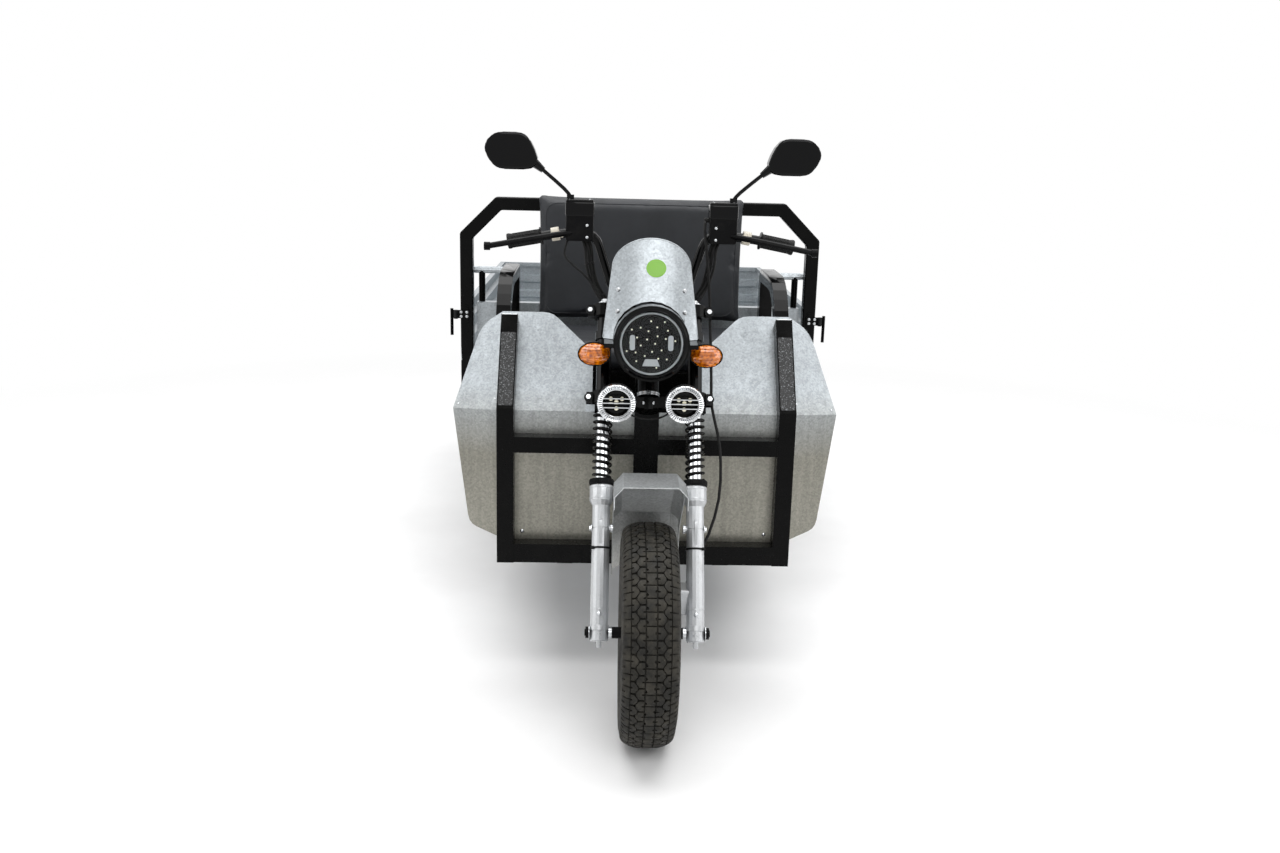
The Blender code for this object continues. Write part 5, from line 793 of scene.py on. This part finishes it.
def fog_lamp(side, word):
    """Dark bowl, finned chrome rim, four diodes and the seal behind the rim."""
    face, fins, steps = at(side * 0.078, 0.150, 0.743), 48, 48
    bm = bmesh.new()
    revolve(bm, [(0.0312, -0.0062), (0.0300, -0.0120), (0.0262, -0.0190), (0.0150, -0.0208), (0, -0.0210)],
            face, FORWARD, 40)
    piece(f"fog_lamp_bowl_{word}", bm, DARK_BOWL, "steering")
    bm = bmesh.new()
    fin = ((0.0330, -0.0004, 0), (0.0425, -0.0004, 0), (0.0437, 0.0061, 0))
    sweep(bm, [face + Vector(spot) for spot in fin], 0.0011, 5)
    around(bm, set(), fins, face, BACKWARD)
    revolve(bm, [(0.0316, -0.0030), (0.0322, 0.0012), (0.0336, 0.0016), (0.0342, 0.0002)],
            face, FORWARD, steps)
    piece(f"fog_lamp_fins_{word}", bm, CHROME, "steering")
    bm = bmesh.new()
    for across, up in ((0, 0), (0.013, 0.0075), (-0.013, 0.0075), (0, -0.015)):
        revolve(bm, [(0, 0.0052), (0.0032, 0.0040), (0.0046, 0.0012), (0.0050, 0)],
                face + Vector((across, 0.0200, up)), FORWARD, 16)
    piece(f"fog_lamp_diodes_{word}", bm, LED, "steering")
    bm = bmesh.new()
    revolve(bm, [(0.0442, -0.0130), (0.0449, -0.0136), (0.0449, -0.0190), (0.0430, -0.0210)],
            face, FORWARD, steps)
    piece(f"fog_lamp_seal_{word}", bm, MATT_PLASTIC, "steering")


def indicator(side, word):
    """The black shell behind the amber lens, and the ribs that follow the lens's bulge."""
    place, wide, high, deep = at(side * 0.131, 0.247, 0.840), 0.0375, 0.0270, 0.025
    bm = bmesh.new()
    revolve(bm, [(0.985, -0.0030), (1.035, -0.0030), (1.045, 0.0010), (1.035, 0.0060), (0.94, 0.0140),
                 (0.72, 0.0205), (0.40, 0.0245), (0, 0.0256)], place, BACKWARD, 48, (wide, high))
    piece(f"indicator_housing_{word}", bm, BLACK_PLASTIC, "steering")
    rib_pitch, rib_reach, steps = 0.0066, 0.86, 8
    bm = bmesh.new()
    for index in range(-3, 4):
        up = index * rib_pitch
        reach = rib_reach * wide * math.sqrt(1 - (up / high) ** 2)
        points = []
        for step in range(steps + 1):
            across = reach * (2 * step / steps - 1)
            bulge = deep * math.sqrt(1 - (across / wide) ** 2 - (up / high) ** 2)
            points.append(place + Vector((across, 0.0002 - bulge, up)))
        sweep(bm, points, 0.0008, 5)
    piece(f"indicator_ribs_{word}", bm, AMBER, "steering")


def cowl_face(across, height):
    """The station of the cowl's front surface."""
    share = min(1, abs(across) / 0.1115)
    return 0.300 - 0.062 * math.sqrt(1 - (share * 0.9) ** 2) + 0.3 * (height - 0.874)


def on_cowl(across, height, behind):
    """A point a little behind the cowl's front surface."""
    return at(across, cowl_face(across, height) + behind, height)


def cowl_dress():
    """Screws, a green dot and the rolled edge of the cowl."""
    bm = bmesh.new()
    for across, height in ((0.0775, 0.987), (0.0785, 0.938)):
        for side in (LEFT, RIGHT):
            screw(bm, on_cowl(side * across, height, -0.0003), FORWARD, 0.0058)
    piece("cowl_screws", bm, ZINC, "steering")
    bm = bmesh.new()
    dot_middle, dot_size = at(0.010, 0.2, 1.038), (0.0235, 0.0205)
    revolve(bm, [(0, 0), (0.33, 0), (0.67, 0), (1, 0)], dot_middle, FORWARD, 28, dot_size)
    for vert in bm.verts:
        vert.co = on_cowl(vert.co.x, vert.co.z, -0.0008)
    piece("cowl_dot", bm, GREEN_DOT, "steering")
    foot, foot_height, arch_middle, arch_wide, arch_high, steps = 0.1112, 0.876, 1.035, 0.0920, 0.0695, 32
    edge = [on_cowl(foot, foot_height, 0.0012)]
    for step in range(steps + 1):
        angle = math.pi * step / steps
        edge.append(on_cowl(arch_wide * math.cos(angle), arch_middle + arch_high * math.sin(angle), 0.0012))
    edge.append(on_cowl(-foot, foot_height, 0.0012))
    bm = bmesh.new()
    sweep(bm, edge, 0.0019, 8)
    piece("cowl_edge_trim", bm, GALVANISED, "steering")


LAMP_AT, LAMP_STEPS = at(0, 0.190, 0.875), 72
LAMP_BACK = -0.0076


def lamp_point(across, up, ahead=LAMP_BACK):
    """A point on the headlamp: across, up and ahead of its face."""
    return LAMP_AT + Vector((across, -ahead, up))


def headlamp():
    """Rim, dark bowl, light ring, reflectors, scattered diodes and the domed glass."""
    for name, look, profile in (
            ("rim", BLACK_PLASTIC, [(0.0740, -0.0060), (0.0745, 0.0015), (0.0775, 0.0035), (0.0800, 0.0022),
                                    (0.0860, -0.0020), (0.0878, -0.0060), (0.0868, -0.0075)]),
            ("bowl", DARK_BOWL, [(0, -0.0077), (0.0500, -0.0077), (0.0640, -0.0070), (0.0680, -0.0052),
                                 (0.0682, LAMP_BACK)]),
            ("light_ring", RING_LIGHT, [(0.0680, -0.0052), (0.0695, -0.0030), (0.0718, -0.0030),
                                        (0.0732, -0.0050), (0.0732, LAMP_BACK), (0.0682, LAMP_BACK)])):
        bm = bmesh.new()
        revolve(bm, profile, LAMP_AT, FORWARD, LAMP_STEPS)
        piece("headlamp_" + name, bm, look, "steering")
    bm = bmesh.new()
    for side in (LEFT, RIGHT):
        slab(bm, rounded_outline(0.012, 0.035, 0.005), 0.0030, lamp_point(side * 0.044, 0.002), FORWARD)
    trapezoid = [(-0.020, -0.052), (0.020, -0.052), (0.014, -0.036), (-0.014, -0.036)]
    slab(bm, trapezoid, 0.0028, lamp_point(0, 0), FORWARD)
    piece("headlamp_reflectors", bm, RING_LIGHT, "steering")
    # Diodes on a sunflower's spiral, whose turn from one to the next is 2.4 radians
    diodes, spread, spiral_turn = 26, 0.060, 2.4
    bm = bmesh.new()
    for index in range(diodes):
        reach, angle = spread * math.sqrt((index + 0.5) / diodes), index * spiral_turn
        spot = lamp_point(reach * math.cos(angle), reach * math.sin(angle), -0.0074)
        revolve(bm, [(0, 0.0026), (0.0015, 0.0019), (0.0020, 0)], spot, FORWARD, 10)
    piece("headlamp_diodes", bm, LED, "steering")
    dome = [(0, 0.0052), (0.0200, 0.0048), (0.0400, 0.0036), (0.0580, 0.0016), (0.0700, -0.0006),
            (0.0738, -0.0018)]
    thickness = 0.0016
    bm = bmesh.new()
    revolve(bm, dome + [(radius, height - thickness) for radius, height in reversed(dome)], LAMP_AT, FORWARD,
            LAMP_STEPS)
    piece("headlamp_glass", bm, CLEAR, "steering")


# Handlebar

def on_grip(side, across):
    """A point on the bar's middle line, where it carries controls and grips."""
    if across > 0.243:
        return at(side * across, 0.400, 1.102 - 0.019 * (across - 0.243) / 0.102)
    return at(side * across, 0.400, 1.112 - 0.010 * (across - 0.135) / 0.108)


def grip(side, word):
    """A grip with ribs round it and seams along it, and the lever's perch beside it."""
    start, end = on_grip(side, 0.2665), on_grip(side, 0.3442)
    axis = end - start
    length, run = axis.length, axis.normalized()
    ribs, seams, valley, crest, first = 11, 10, 0.0164, 0.0172, 0.004
    profile = [(0.0156, 0.0), (crest, 0.0004)]
    for index in range(ribs):
        low = first + (length - 0.014) * index / ribs
        high = low + (length - 0.014) / ribs
        profile += [(crest, low + 0.0006), (valley, low + 0.0016),
                    (valley, high - 0.0016), (crest, high - 0.0006)]
    profile += [(0.0176, length - 0.008), (0.0184, length - 0.006), (0.0184, length - 0.001),
                (crest, length + 0.0006), (0, length + 0.0010)]
    bm = bmesh.new()
    revolve(bm, profile, start, axis, 28)
    old, out = set(bm.verts), BACKWARD * 0.0168
    sweep(bm, [start + out + run * 0.006, end + out - run * 0.012], 0.0009, 5)
    around(bm, old, seams, start, axis)
    piece(f"grip_sleeve_{word}", bm, GRIP, "steering")
    bm = bmesh.new()
    band(bm, on_grip(side, 0.2300), axis, 0.0111, 0.020, 0.0052, 28)
    box(bm, (-0.004, -0.030, -0.007), (0.010, -0.008, 0.007), 0.002, about=on_grip(side, 0.2200))
    piece(f"lever_perch_{word}", bm, CREAM, "steering")


def control(side, word):
    """Reservoir with its lid, clamp screws and buttons on the control box."""
    middle = on_grip(side, 0.172)
    lid = middle + UP * 0.0784
    bm = bmesh.new()
    box(bm, (-0.0345, -0.0240, -0.0400), (0.0345, 0.0240, -0.0052), 0.0045, about=lid)
    box(bm, (-0.0300, -0.0205, -0.0058), (0.0300, 0.0205, -0.0012), 0.0012, about=lid)
    piece(f"control_reservoir_{word}", bm, BLACK_PLASTIC, "steering")
    bm = bmesh.new()
    for across in (-0.0235, 0.0235):
        for behind in (-0.014, 0.014):
            screw(bm, lid + Vector((across, behind, -0.0014)), UP, 0.0030)
    for up in (0.018, -0.010):
        screw(bm, middle + Vector((-side * 0.018, -0.0219, up)), FORWARD, 0.0036)
    piece(f"control_screws_{word}", bm, ZINC, "steering")
    bm = bmesh.new()
    for across in (-0.0200, 0.0040):
        box(bm, (across, 0.0210, 0.008), (across + 0.0160, 0.0262, 0.020), 0.0012, about=middle)
    revolve(bm, [(0, 0.0052), (0.0050, 0.0046), (0.0062, 0.0030), (0.0062, 0)],
            middle + Vector((0, 0.0214, -0.006)), BACKWARD, 20)
    piece(f"control_buttons_{word}", bm, RED if side == RIGHT else MATT_PLASTIC, "steering")


MIRROR_ACROSS, MIRROR_HEIGHT = 0.3365, 1.296
MIRROR_HALF_WIDE, MIRROR_HALF_HIGH, MIRROR_CORNER = 0.0675, 0.043, 0.020
# Corners of the head, in shares of its half width and half height
MIRROR_SHARES = [(1.0, 0.15), (0.55, -1.0), (-0.80, -1.0), (-1.0, -0.40), (-0.55, 1.0), (0.60, 1.0)]


def mirror_outline(shrink):
    """The head's outline about its middle, its corners rounded."""
    corners = [Vector((u * MIRROR_HALF_WIDE, v * MIRROR_HALF_HIGH)) * shrink for u, v in MIRROR_SHARES]
    outline = []
    for before, corner, after in zip(corners[-1:] + corners, corners, corners[1:] + corners[:1]):
        start, end = [corner + way.normalized() * min(MIRROR_CORNER, way.length * 0.45)
                      for way in (before - corner, after - corner)]
        for t in (0, 0.25, 0.5, 0.75, 1):
            outline.append(start * (1 - t) ** 2 + corner * 2 * t * (1 - t) + end * t * t)
    return outline


def mirror_glass(side, word):
    """The glass and its frame on the rider's side of the head."""
    for name, shrink, depth, look in (("frame", 0.93, 0.0014, MATT_PLASTIC),
                                      ("glass", 0.84, 0.0020, MIRROR_GLASS)):
        bm = bmesh.new()
        corners = [at(side * (MIRROR_ACROSS + spot.x), 0.4182, MIRROR_HEIGHT + spot.y)
                   for spot in mirror_outline(shrink)]
        raise_face(bm, corners, lambda spot: spot + BACKWARD * depth)
        piece(f"mirror_{name}_{word}", bm, look, "steering")


def mirror_shell(side, word):
    """The domed back of the head, laid on the flat front of its solid."""
    start = at(side * MIRROR_ACROSS, 0, MIRROR_HEIGHT)
    front = surface(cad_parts["mirror_" + word]).ray_cast(start, BACKWARD)[0]
    corners = [front + Vector((side * spot.x, 0, spot.y)) for spot in mirror_outline(0.98)]

    def rise(shrink, out):
        return lambda spot: front + (spot - front) * shrink + FORWARD * out + UP * (out * 0.25)
    bm = bmesh.new()
    raise_face(bm, corners, rise(1.0, 0.0010), rise(0.95, 0.0040), rise(0.86, 0.0035), rise(0.78, 0.0022),
               rise(0.66, 0.0014), rise(0.45, 0.0006))
    piece("mirror_shell_" + word, bm, BLACK_PLASTIC, "steering", (), 70.0)


def cable(name, spots, radius, steps=8):
    """A hose through places given as (across, station, height)."""
    bm = bmesh.new()
    sweep(bm, route([at(*spot) for spot in spots], steps), radius, 8)
    piece(name, bm, HOSE, "steering")


def cables():
    """Short tied wiring: from the controls down the bar, and on into the headlamp."""
    for side, word in SIDES:
        for index, (shift, radius) in enumerate(((0.0, 0.0042), (0.008, 0.0034), (-0.007, 0.0030))):
            spots = [(side * (0.158 + shift), 0.404, 1.094), (side * (0.150 + shift), 0.402, 1.070),
                     (side * (0.146 + shift), 0.404 - shift, 1.030), (side * (0.134 + shift), 0.408, 0.985),
                     (side * (0.112 + shift), 0.400 - shift, 0.950), (side * (0.080 + shift), 0.372, 0.915),
                     (side * 0.050, 0.330, 0.895), (side * (0.030 + shift), 0.284, 0.880)]
            cable(f"control_cable_{word}_{index}", spots, radius, 7)
        bm = bmesh.new()
        for spot in (at(side * 0.1470, 0.4040, 1.035), at(side * 0.1180, 0.4030, 0.958)):
            band(bm, spot, Vector((side * 0.35, 0, 1)), 0.0108, 0.004, 0.0012, 20)
        piece(f"control_cable_ties_{word}", bm, MATT_PLASTIC, "steering")
    cable("looping_cable", [(-0.200, 0.388, 1.092), (-0.207, 0.376, 1.058), (-0.190, 0.370, 1.036),
                            (-0.158, 0.376, 1.008), (-0.130, 0.386, 0.972), (-0.112, 0.384, 0.942),
                            (-0.090, 0.366, 0.912)], 0.0024)
    cable("fog_lamp_wire", [(-0.074, 0.200, 0.735), (-0.050, 0.210, 0.708), (-0.012, 0.214, 0.694),
                            (0.030, 0.212, 0.700), (0.074, 0.200, 0.735)], 0.0023)


def steering_group():
    for side, word in SIDES:
        for make in (coil, fork_dress, leg_dress, fog_lamp, indicator, grip, control, mirror_glass,
                     mirror_shell):
            make(side, word)
    hub_dress()
    rim_dress("front_wheel", at(0, 0, TYRE_R), "front_wheel")
    yoke_dress()
    cowl_dress()
    cables()
    headlamp()


# Cushions

def settle(obj):
    """Apply an object's modifiers to its mesh."""
    graph = bpy.context.evaluated_depsgraph_get()
    mesh = bpy.data.meshes.new_from_object(obj.evaluated_get(graph))
    obj.modifiers.clear()
    obj.data = mesh


def blow(obj, cap):
    """Blow up a cushion as cloth, and let no point of it move by more than the cap."""
    frames, scene = 20, bpy.context.scene
    rest = [vert.co.copy() for vert in obj.data.vertices]
    cloth = obj.modifiers.new("cloth", "CLOTH").settings
    cloth.quality = 4
    cloth.use_pressure = True
    cloth.uniform_pressure_force = 4
    cloth.effector_weights.gravity = 0
    for number in range(1, frames + 1):
        scene.frame_set(number)
    settle(obj)
    scene.frame_set(1)
    for vert, start in zip(obj.data.vertices, rest):
        move = vert.co - start
        if move.length > cap:
            vert.co = start + move.normalized() * cap
    obj.data.update()


def swollen(name, node_name, shrink, cap, body):
    """A cushion that starts a little smaller than its solid and is blown up by cloth simulation."""
    low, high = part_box(node_name)
    bm = bmesh.new()
    box(bm, Vector(low) + Vector(shrink), Vector(high) - Vector(shrink), 0.016, segments=3)
    obj = new_object(name, bm)
    remesh = obj.modifiers.new("remesh", "REMESH")
    remesh.mode = "VOXEL"
    remesh.voxel_size = 0.006
    settle(obj)
    blow(obj, cap)
    obj.data.materials.append(VINYL)
    obj.data.shade_smooth()
    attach(obj, body)
    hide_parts(node_name)
    return obj


def piping(name, cushion, starts, along):
    """A sewn cord laid on the blown cushion, half sunk."""
    cover = surface(cushion)
    points = [cover.ray_cast(start, along)[0] for start in starts]
    bm = bmesh.new()
    sweep(bm, [spot + along * 0.0006 for spot in points if spot], 0.0023, 8, closed=True)
    piece(name, bm, VINYL, "chassis", (), 60.0)


def cushions():
    """Seat and backrest, with their piping in rounded rectangles of (width, height, corner)."""
    seat = swollen("seat_cushion_padded", "seat_cushion", (0.008, 0.008, 0.008), 0.018, "chassis")
    back = swollen("seat_backrest_padded", "seat_backrest", (0.004, 0.008, 0.004), 0.014, "chassis")
    outline = even(rounded_outline(0.585, 0.325, 0.035))
    piping("seat_cushion_piping", seat, [at(spot.x, 1.013 + spot.y, 1.0) for spot in outline], DOWN)
    outline = even(rounded_outline(0.590, 0.340, 0.035))
    piping("seat_backrest_piping", back, [at(spot.x, 1.0, 0.966 + spot.y) for spot in outline], BACKWARD)


# Body, bed and rear axle

# Up the leg shield's sloping uprights, and out from their front
SLOPE, SLOPE_OUT = Vector((0, 0.5776, 0.8163)), Vector((0, -0.8163, 0.5776))
SMOOTH = (("cowl", GALVANISED, "steering"),
          ("armrest_left", GLOSS, "chassis"), ("armrest_right", GLOSS, "chassis"),
          ("mudguard_left", ENAMEL, "chassis"), ("mudguard_right", ENAMEL, "chassis"),
          ("handlebar", GLOSS, "steering"))


def smooth_skins():
    """Bent sheet and tube: the solid's own faces with even shading round their bends."""
    for name, look, body in SMOOTH:
        bm = bmesh.new()
        bm.from_mesh(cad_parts[name].data)
        bmesh.ops.remove_doubles(bm, verts=bm.verts, dist=0.00001)
        obj = piece(name + "_smooth", bm, look, body, (name,), 33.0)
        obj.modifiers.new("even", "WEIGHTED_NORMAL").keep_sharp = True
        settle(obj)


def front_dress():
    """Grit tape on the sloping uprights, a bright zinc line across their top edge as a painted
    highlight, rivets and sheet screws.
    """
    foot = at(0, 0.360, 0.680)
    tape, painted_glint, bright = bmesh.new(), bmesh.new(), bmesh.new()
    for side, word in SIDES:
        middle = foot + Vector((side * 0.349, 0, 0))
        slab(tape, rounded_outline(0.036, 0.200, 0.004), 0.0011, middle + SLOPE * 0.108, SLOPE_OUT, SLOPE)
        # A thin bare zinc line across the top of each upright, which is a painted highlight
        top, reach = middle + SLOPE * 0.2590, Vector((0.0190, 0, 0))
        sweep(painted_glint, [top - reach, top + reach], 0.0009, 6)
        sheet = surface(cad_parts["shield_sheet_" + word])
        for across, height, radius in ((0.379, 0.6895, 0.0032), (0.474, 0.6700, 0.0032),
                                       (0.3095, 0.3508, 0.0052)):
            spot, out = sheet.ray_cast(at(side * across, 0.2, height), BACKWARD)[:2]
            if spot:
                screw(bright, spot, out if out.y < 0 else -out, radius)
    piece("upright_grit_tape", tape, TAPE, "chassis")
    piece("upright_painted_glint_edges", painted_glint, ZINC, "chassis")
    piece("shield_rivets", bright, ZINC, "chassis")


def hoop_dress():
    """Bolts, cylinders and a hanging pin at the latches, and black sleeves on the guard posts."""
    black, bright, sleeves = bmesh.new(), bmesh.new(), bmesh.new()
    for side in (LEFT, RIGHT):
        for across in (0.5475, 0.5655):
            for height in (0.7702, 0.7838):
                bolt(bright, at(side * across, 1.2737, height), FORWARD, 0.0034, 0.0030, 1.3)
        revolve(black, [(0, 0), (0.0062, 0), (0.0068, 0.0008), (0.0068, 0.0270), (0.0058, 0.0280),
                        (0, 0.0280)], at(side * 0.5815, 1.2705, 0.7630), UP, 20)
        revolve(sleeves, [(0.0093, 0), (0.0103, 0.0006), (0.0103, 0.0980), (0.0093, 0.0985)],
                at(side * 0.505, 1.3403, 0.8120), UP, 24)
    pin = [at(-0.566, 1.2775, 0.668), at(-0.566, 1.2765, 0.655), at(-0.565, 1.2765, 0.628)]
    sweep(bright, pin, 0.0021, 8)
    piece("latch_cylinders", black, MATT_PLASTIC, "chassis")
    piece("latch_bolts", bright, ZINC, "chassis")
    piece("guard_post_sleeves", sleeves, ENAMEL, "chassis")


def bed_dress():
    """Ribs and screws of the bed's floor, and the hinge pins of the boards."""
    rib_pitch, rib_half, rib_length, screw_pitch = 0.105, 0.006, 1.21, 0.290
    hinge_height, knuckle_half, pin_radius = 0.585, 0.0348, 0.0085
    bm = bmesh.new()
    for index in range(-4, 5):
        box(bm, (-rib_half, 0, 0), (rib_half, rib_length, 0.0025), 0.0008,
            about=at(index * rib_pitch, 1.36, 0.5995))
    piece("bed_floor_ribs", bm, GALVANISED, "chassis")
    screws, pins = bmesh.new(), bmesh.new()
    cap = [(0.0040, 0), (pin_radius, 0), (pin_radius, 0.0016), (0.0060, 0.0034), (0, 0.0042)]
    for side in (LEFT, RIGHT):
        for index in range(5):
            screw(screws, at(side * 0.512, 1.380 + screw_pitch * index, 0.6000), UP, 0.0058)
        for station in (1.4603, 1.9653, 2.4703):
            for way in (FORWARD, BACKWARD):
                revolve(pins, cap, at(side * 0.552, station, hinge_height) + way * knuckle_half, way, 16)
        for across in (-0.395, 0, 0.395):
            revolve(pins, cap, at(across + side * knuckle_half, 2.6273, hinge_height),
                    Vector((side, 0, 0)), 16)
    piece("bed_floor_screws", screws, ZINC, "chassis")
    piece("board_hinge_pins", pins, ZINC, "chassis")


def spring_clamps(side, word):
    """Two bent U-bolts over each leaf spring, their nuts, and the plate under it."""
    middle, leg_at, foot, shoulder, top = side * 0.200, 0.0268, 0.200, 0.3180, 0.3222
    bolts, plates = bmesh.new(), bmesh.new()
    for station in (REAR_AXLE - 0.036, REAR_AXLE + 0.036):
        bend = ((-leg_at, foot), (-leg_at, shoulder), (-0.0230, top), (0.0230, top), (leg_at, shoulder),
                (leg_at, foot))
        sweep(bolts, [at(middle + across, station, height) for across, height in bend], 0.0038, 10)
        for across in (-leg_at, leg_at):
            bolt(bolts, at(middle + across, station, 0.2115), DOWN, 0.0066, 0.0056, 1.3)
    box(plates, at(middle - 0.040, 1.902, 0.2120), at(middle + 0.040, 1.998, 0.2190), 0.0015)
    piece("spring_u_bolts_" + word, bolts, ZINC, "chassis")
    piece("spring_clamp_plate_" + word, plates, ENAMEL_SATIN, "chassis")


def rear_wheel_dress(side, word):
    """Hub cap and nuts, lip bead and valve, and the mudguard's rolled edges."""
    centre, body = at(side * REAR_WHEEL_AT, REAR_AXLE, TYRE_R), "rear_wheel_" + word
    cap, nuts, edges = bmesh.new(), bmesh.new(), bmesh.new()
    revolve(cap, [(0, 0.0620), (0.0110, 0.0612), (0.0150, 0.0580), (0.0158, 0.0482), (0, 0.0482)], centre,
            Vector((side, 0, 0)), 28)
    bolt_circle(nuts, centre, side, 0.0480, 0.0225, 5, 0.0042, 0.0046, 1.25)
    piece("rear_hub_cap_" + word, cap, MATT_PLASTIC, body)
    piece("rear_hub_nuts_" + word, nuts, ZINC, body)
    rim_dress("rear_wheel_" + word, centre, body)
    start, sweep_angle, steps, radius = 16, 148, 40, 0.2815
    for across in (-0.0695, 0.0695):
        sweep(edges, [on_wheel(centre, across, radius, math.radians(start + sweep_angle * step / steps))
                      for step in range(steps + 1)], 0.0024, 8)
    piece("mudguard_rolled_edges_" + word, edges, ENAMEL_SATIN, "chassis")


def tail_lamp(side, word):
    """Bezel, ribs and the amber window of a tail lamp."""
    lamp, rib_pitch = at(side * 0.380, 2.6100, 0.5395), 0.0075
    bezel, ribs, window = bmesh.new(), bmesh.new(), bmesh.new()
    edge = even(rounded_outline(0.1105, 0.0555, 0.006))
    sweep(bezel, [lamp + Vector((spot.x, -0.0025, spot.y)) for spot in edge], 0.0024, 8, closed=True)
    for index in range(-6, 4):
        foot = lamp + Vector((side * index * rib_pitch, 0.0002, -0.022))
        sweep(ribs, [foot, foot + UP * 0.044], 0.0011, 6)
    slab(window, rounded_outline(0.0230, 0.0450, 0.004), 0.0022, lamp + Vector((side * 0.0390, 0, 0)),
         BACKWARD)
    piece("tail_lamp_bezel_" + word, bezel, MATT_PLASTIC, "chassis")
    piece("tail_lamp_ribs_" + word, ribs, RED, "chassis")
    piece("tail_lamp_amber_" + word, window, AMBER, "chassis")


def body_group():
    smooth_skins()
    front_dress()
    hoop_dress()
    bed_dress()
    for side, word in SIDES:
        spring_clamps(side, word)
        rear_wheel_dress(side, word)
        tail_lamp(side, word)


# Camera, light and floor

def seen_rays(tree):
    """1 for what the camera, a reflection or a clear part sees, 0 for light."""
    rays = node(tree, "LightPath")
    some = node(tree, "Math", {0: rays["Is Camera Ray"], 1: rays["Is Glossy Ray"]}, operation="MAXIMUM")[0]
    return node(tree, "Math", {0: some, 1: rays["Is Transmission Ray"]}, operation="MAXIMUM")[0]


def floor():
    """A pale floor that holds the shadow near the vehicle and fades to white far from it."""
    half_size, just_below, patch, fade_start, fade_end = 60, -0.0005, 333, 2.0, 4.0
    bm = bmesh.new()
    bmesh.ops.create_grid(bm, x_segments=1, y_segments=1, size=half_size)
    bmesh.ops.translate(bm, vec=(0, 0, just_below), verts=bm.verts)
    ground = new_object("floor", bm)
    material, tree, shader = base_material("studio_floor", "f1f1f1", 0.7)
    place = object_space(tree)
    tone = mottle(tree, place, patch, [(0.3, "f0f0f0"), (0.7, "f5f5f5")])
    tree.links.new(tone, shader.inputs["Base Color"])
    distance = node(tree, "VectorMath", {0: place}, operation="LENGTH")["Value"]
    far = node(tree, "MapRange", {"Value": distance, "From Min": fade_start, "From Max": fade_end})[0]
    share = node(tree, "Math", {0: far, 1: seen_rays(tree)}, operation="MULTIPLY")[0]
    white = node(tree, "Emission", {"Color": linear("ffffff"), "Strength": 1.0})[0]
    blend = node(tree, "MixShader", {0: share, 1: shader.outputs[0], 2: white})[0]
    tree.links.new(blend, tree.nodes["Material Output"].inputs["Surface"])
    ground.data.materials.append(material)


def area_light(name, place, aim, size, energy):
    """A rectangular lamp, aimed at a point."""
    data = bpy.data.lights.new(name, "AREA")
    data.shape = "RECTANGLE"
    data.size, data.size_y = size
    data.energy = energy
    lamp = bpy.data.objects.new(name, data)
    lamp.location = place
    lamp.rotation_euler = (Vector(aim) - Vector(place)).to_track_quat("-Z", "Y").to_euler()
    bpy.context.scene.collection.objects.link(lamp)


def lights():
    """A broad lamp overhead, one in front and a weaker one on each side."""
    area_light("top_light", (0, 0.2, 4.6), (0, 0.0, 0), (6.0, 4.5), 270)
    area_light("front_light", (0.8, -5.6, 4.4), (0, -0.6, 0.6), (4.0, 2.0), 95)
    for side, word in SIDES:
        area_light(word + "_light", (side * 4.6, -1.6, 2.6), (0, 0, 0.6), (2.0, 3.0), 45)


def surroundings():
    """A white world, at full strength for what is seen and at less for light."""
    light_level, seen_level = 0.45, 1.0
    world = bpy.data.worlds.new("studio")
    world.use_nodes = True
    tree, sky = world.node_tree, world.node_tree.nodes["Background"]
    sky.inputs["Color"].default_value = linear("ffffff")
    level = node(tree, "MapRange", {"Value": seen_rays(tree), "To Min": light_level, "To Max": seen_level})[0]
    tree.links.new(level, sky.inputs["Strength"])
    bpy.context.scene.world = world


def photo_camera():
    """The camera that was fitted to the photograph."""
    focal_pixels, picture_pixels, sensor = 1173, 1280, 36
    dip, heading, tilt = [math.radians(angle) for angle in (13.573, -1.86, 1.474)]
    data = bpy.data.cameras.new("camera")
    data.lens = focal_pixels / picture_pixels * sensor
    camera = bpy.data.objects.new("camera", data)
    camera.location = at(-0.1077, -2.4535, 1.3202)
    look = Euler((math.radians(90) - dip, 0, heading)).to_matrix()
    camera.rotation_euler = (look @ Matrix.Rotation(tilt, 3, "Z")).to_euler()
    scene = bpy.context.scene
    scene.collection.objects.link(camera)
    scene.camera = camera
    scene.view_settings.view_transform = "Standard"


tyres()
steering_group()
body_group()
cushions()
floor()
lights()
surroundings()
photo_camera()
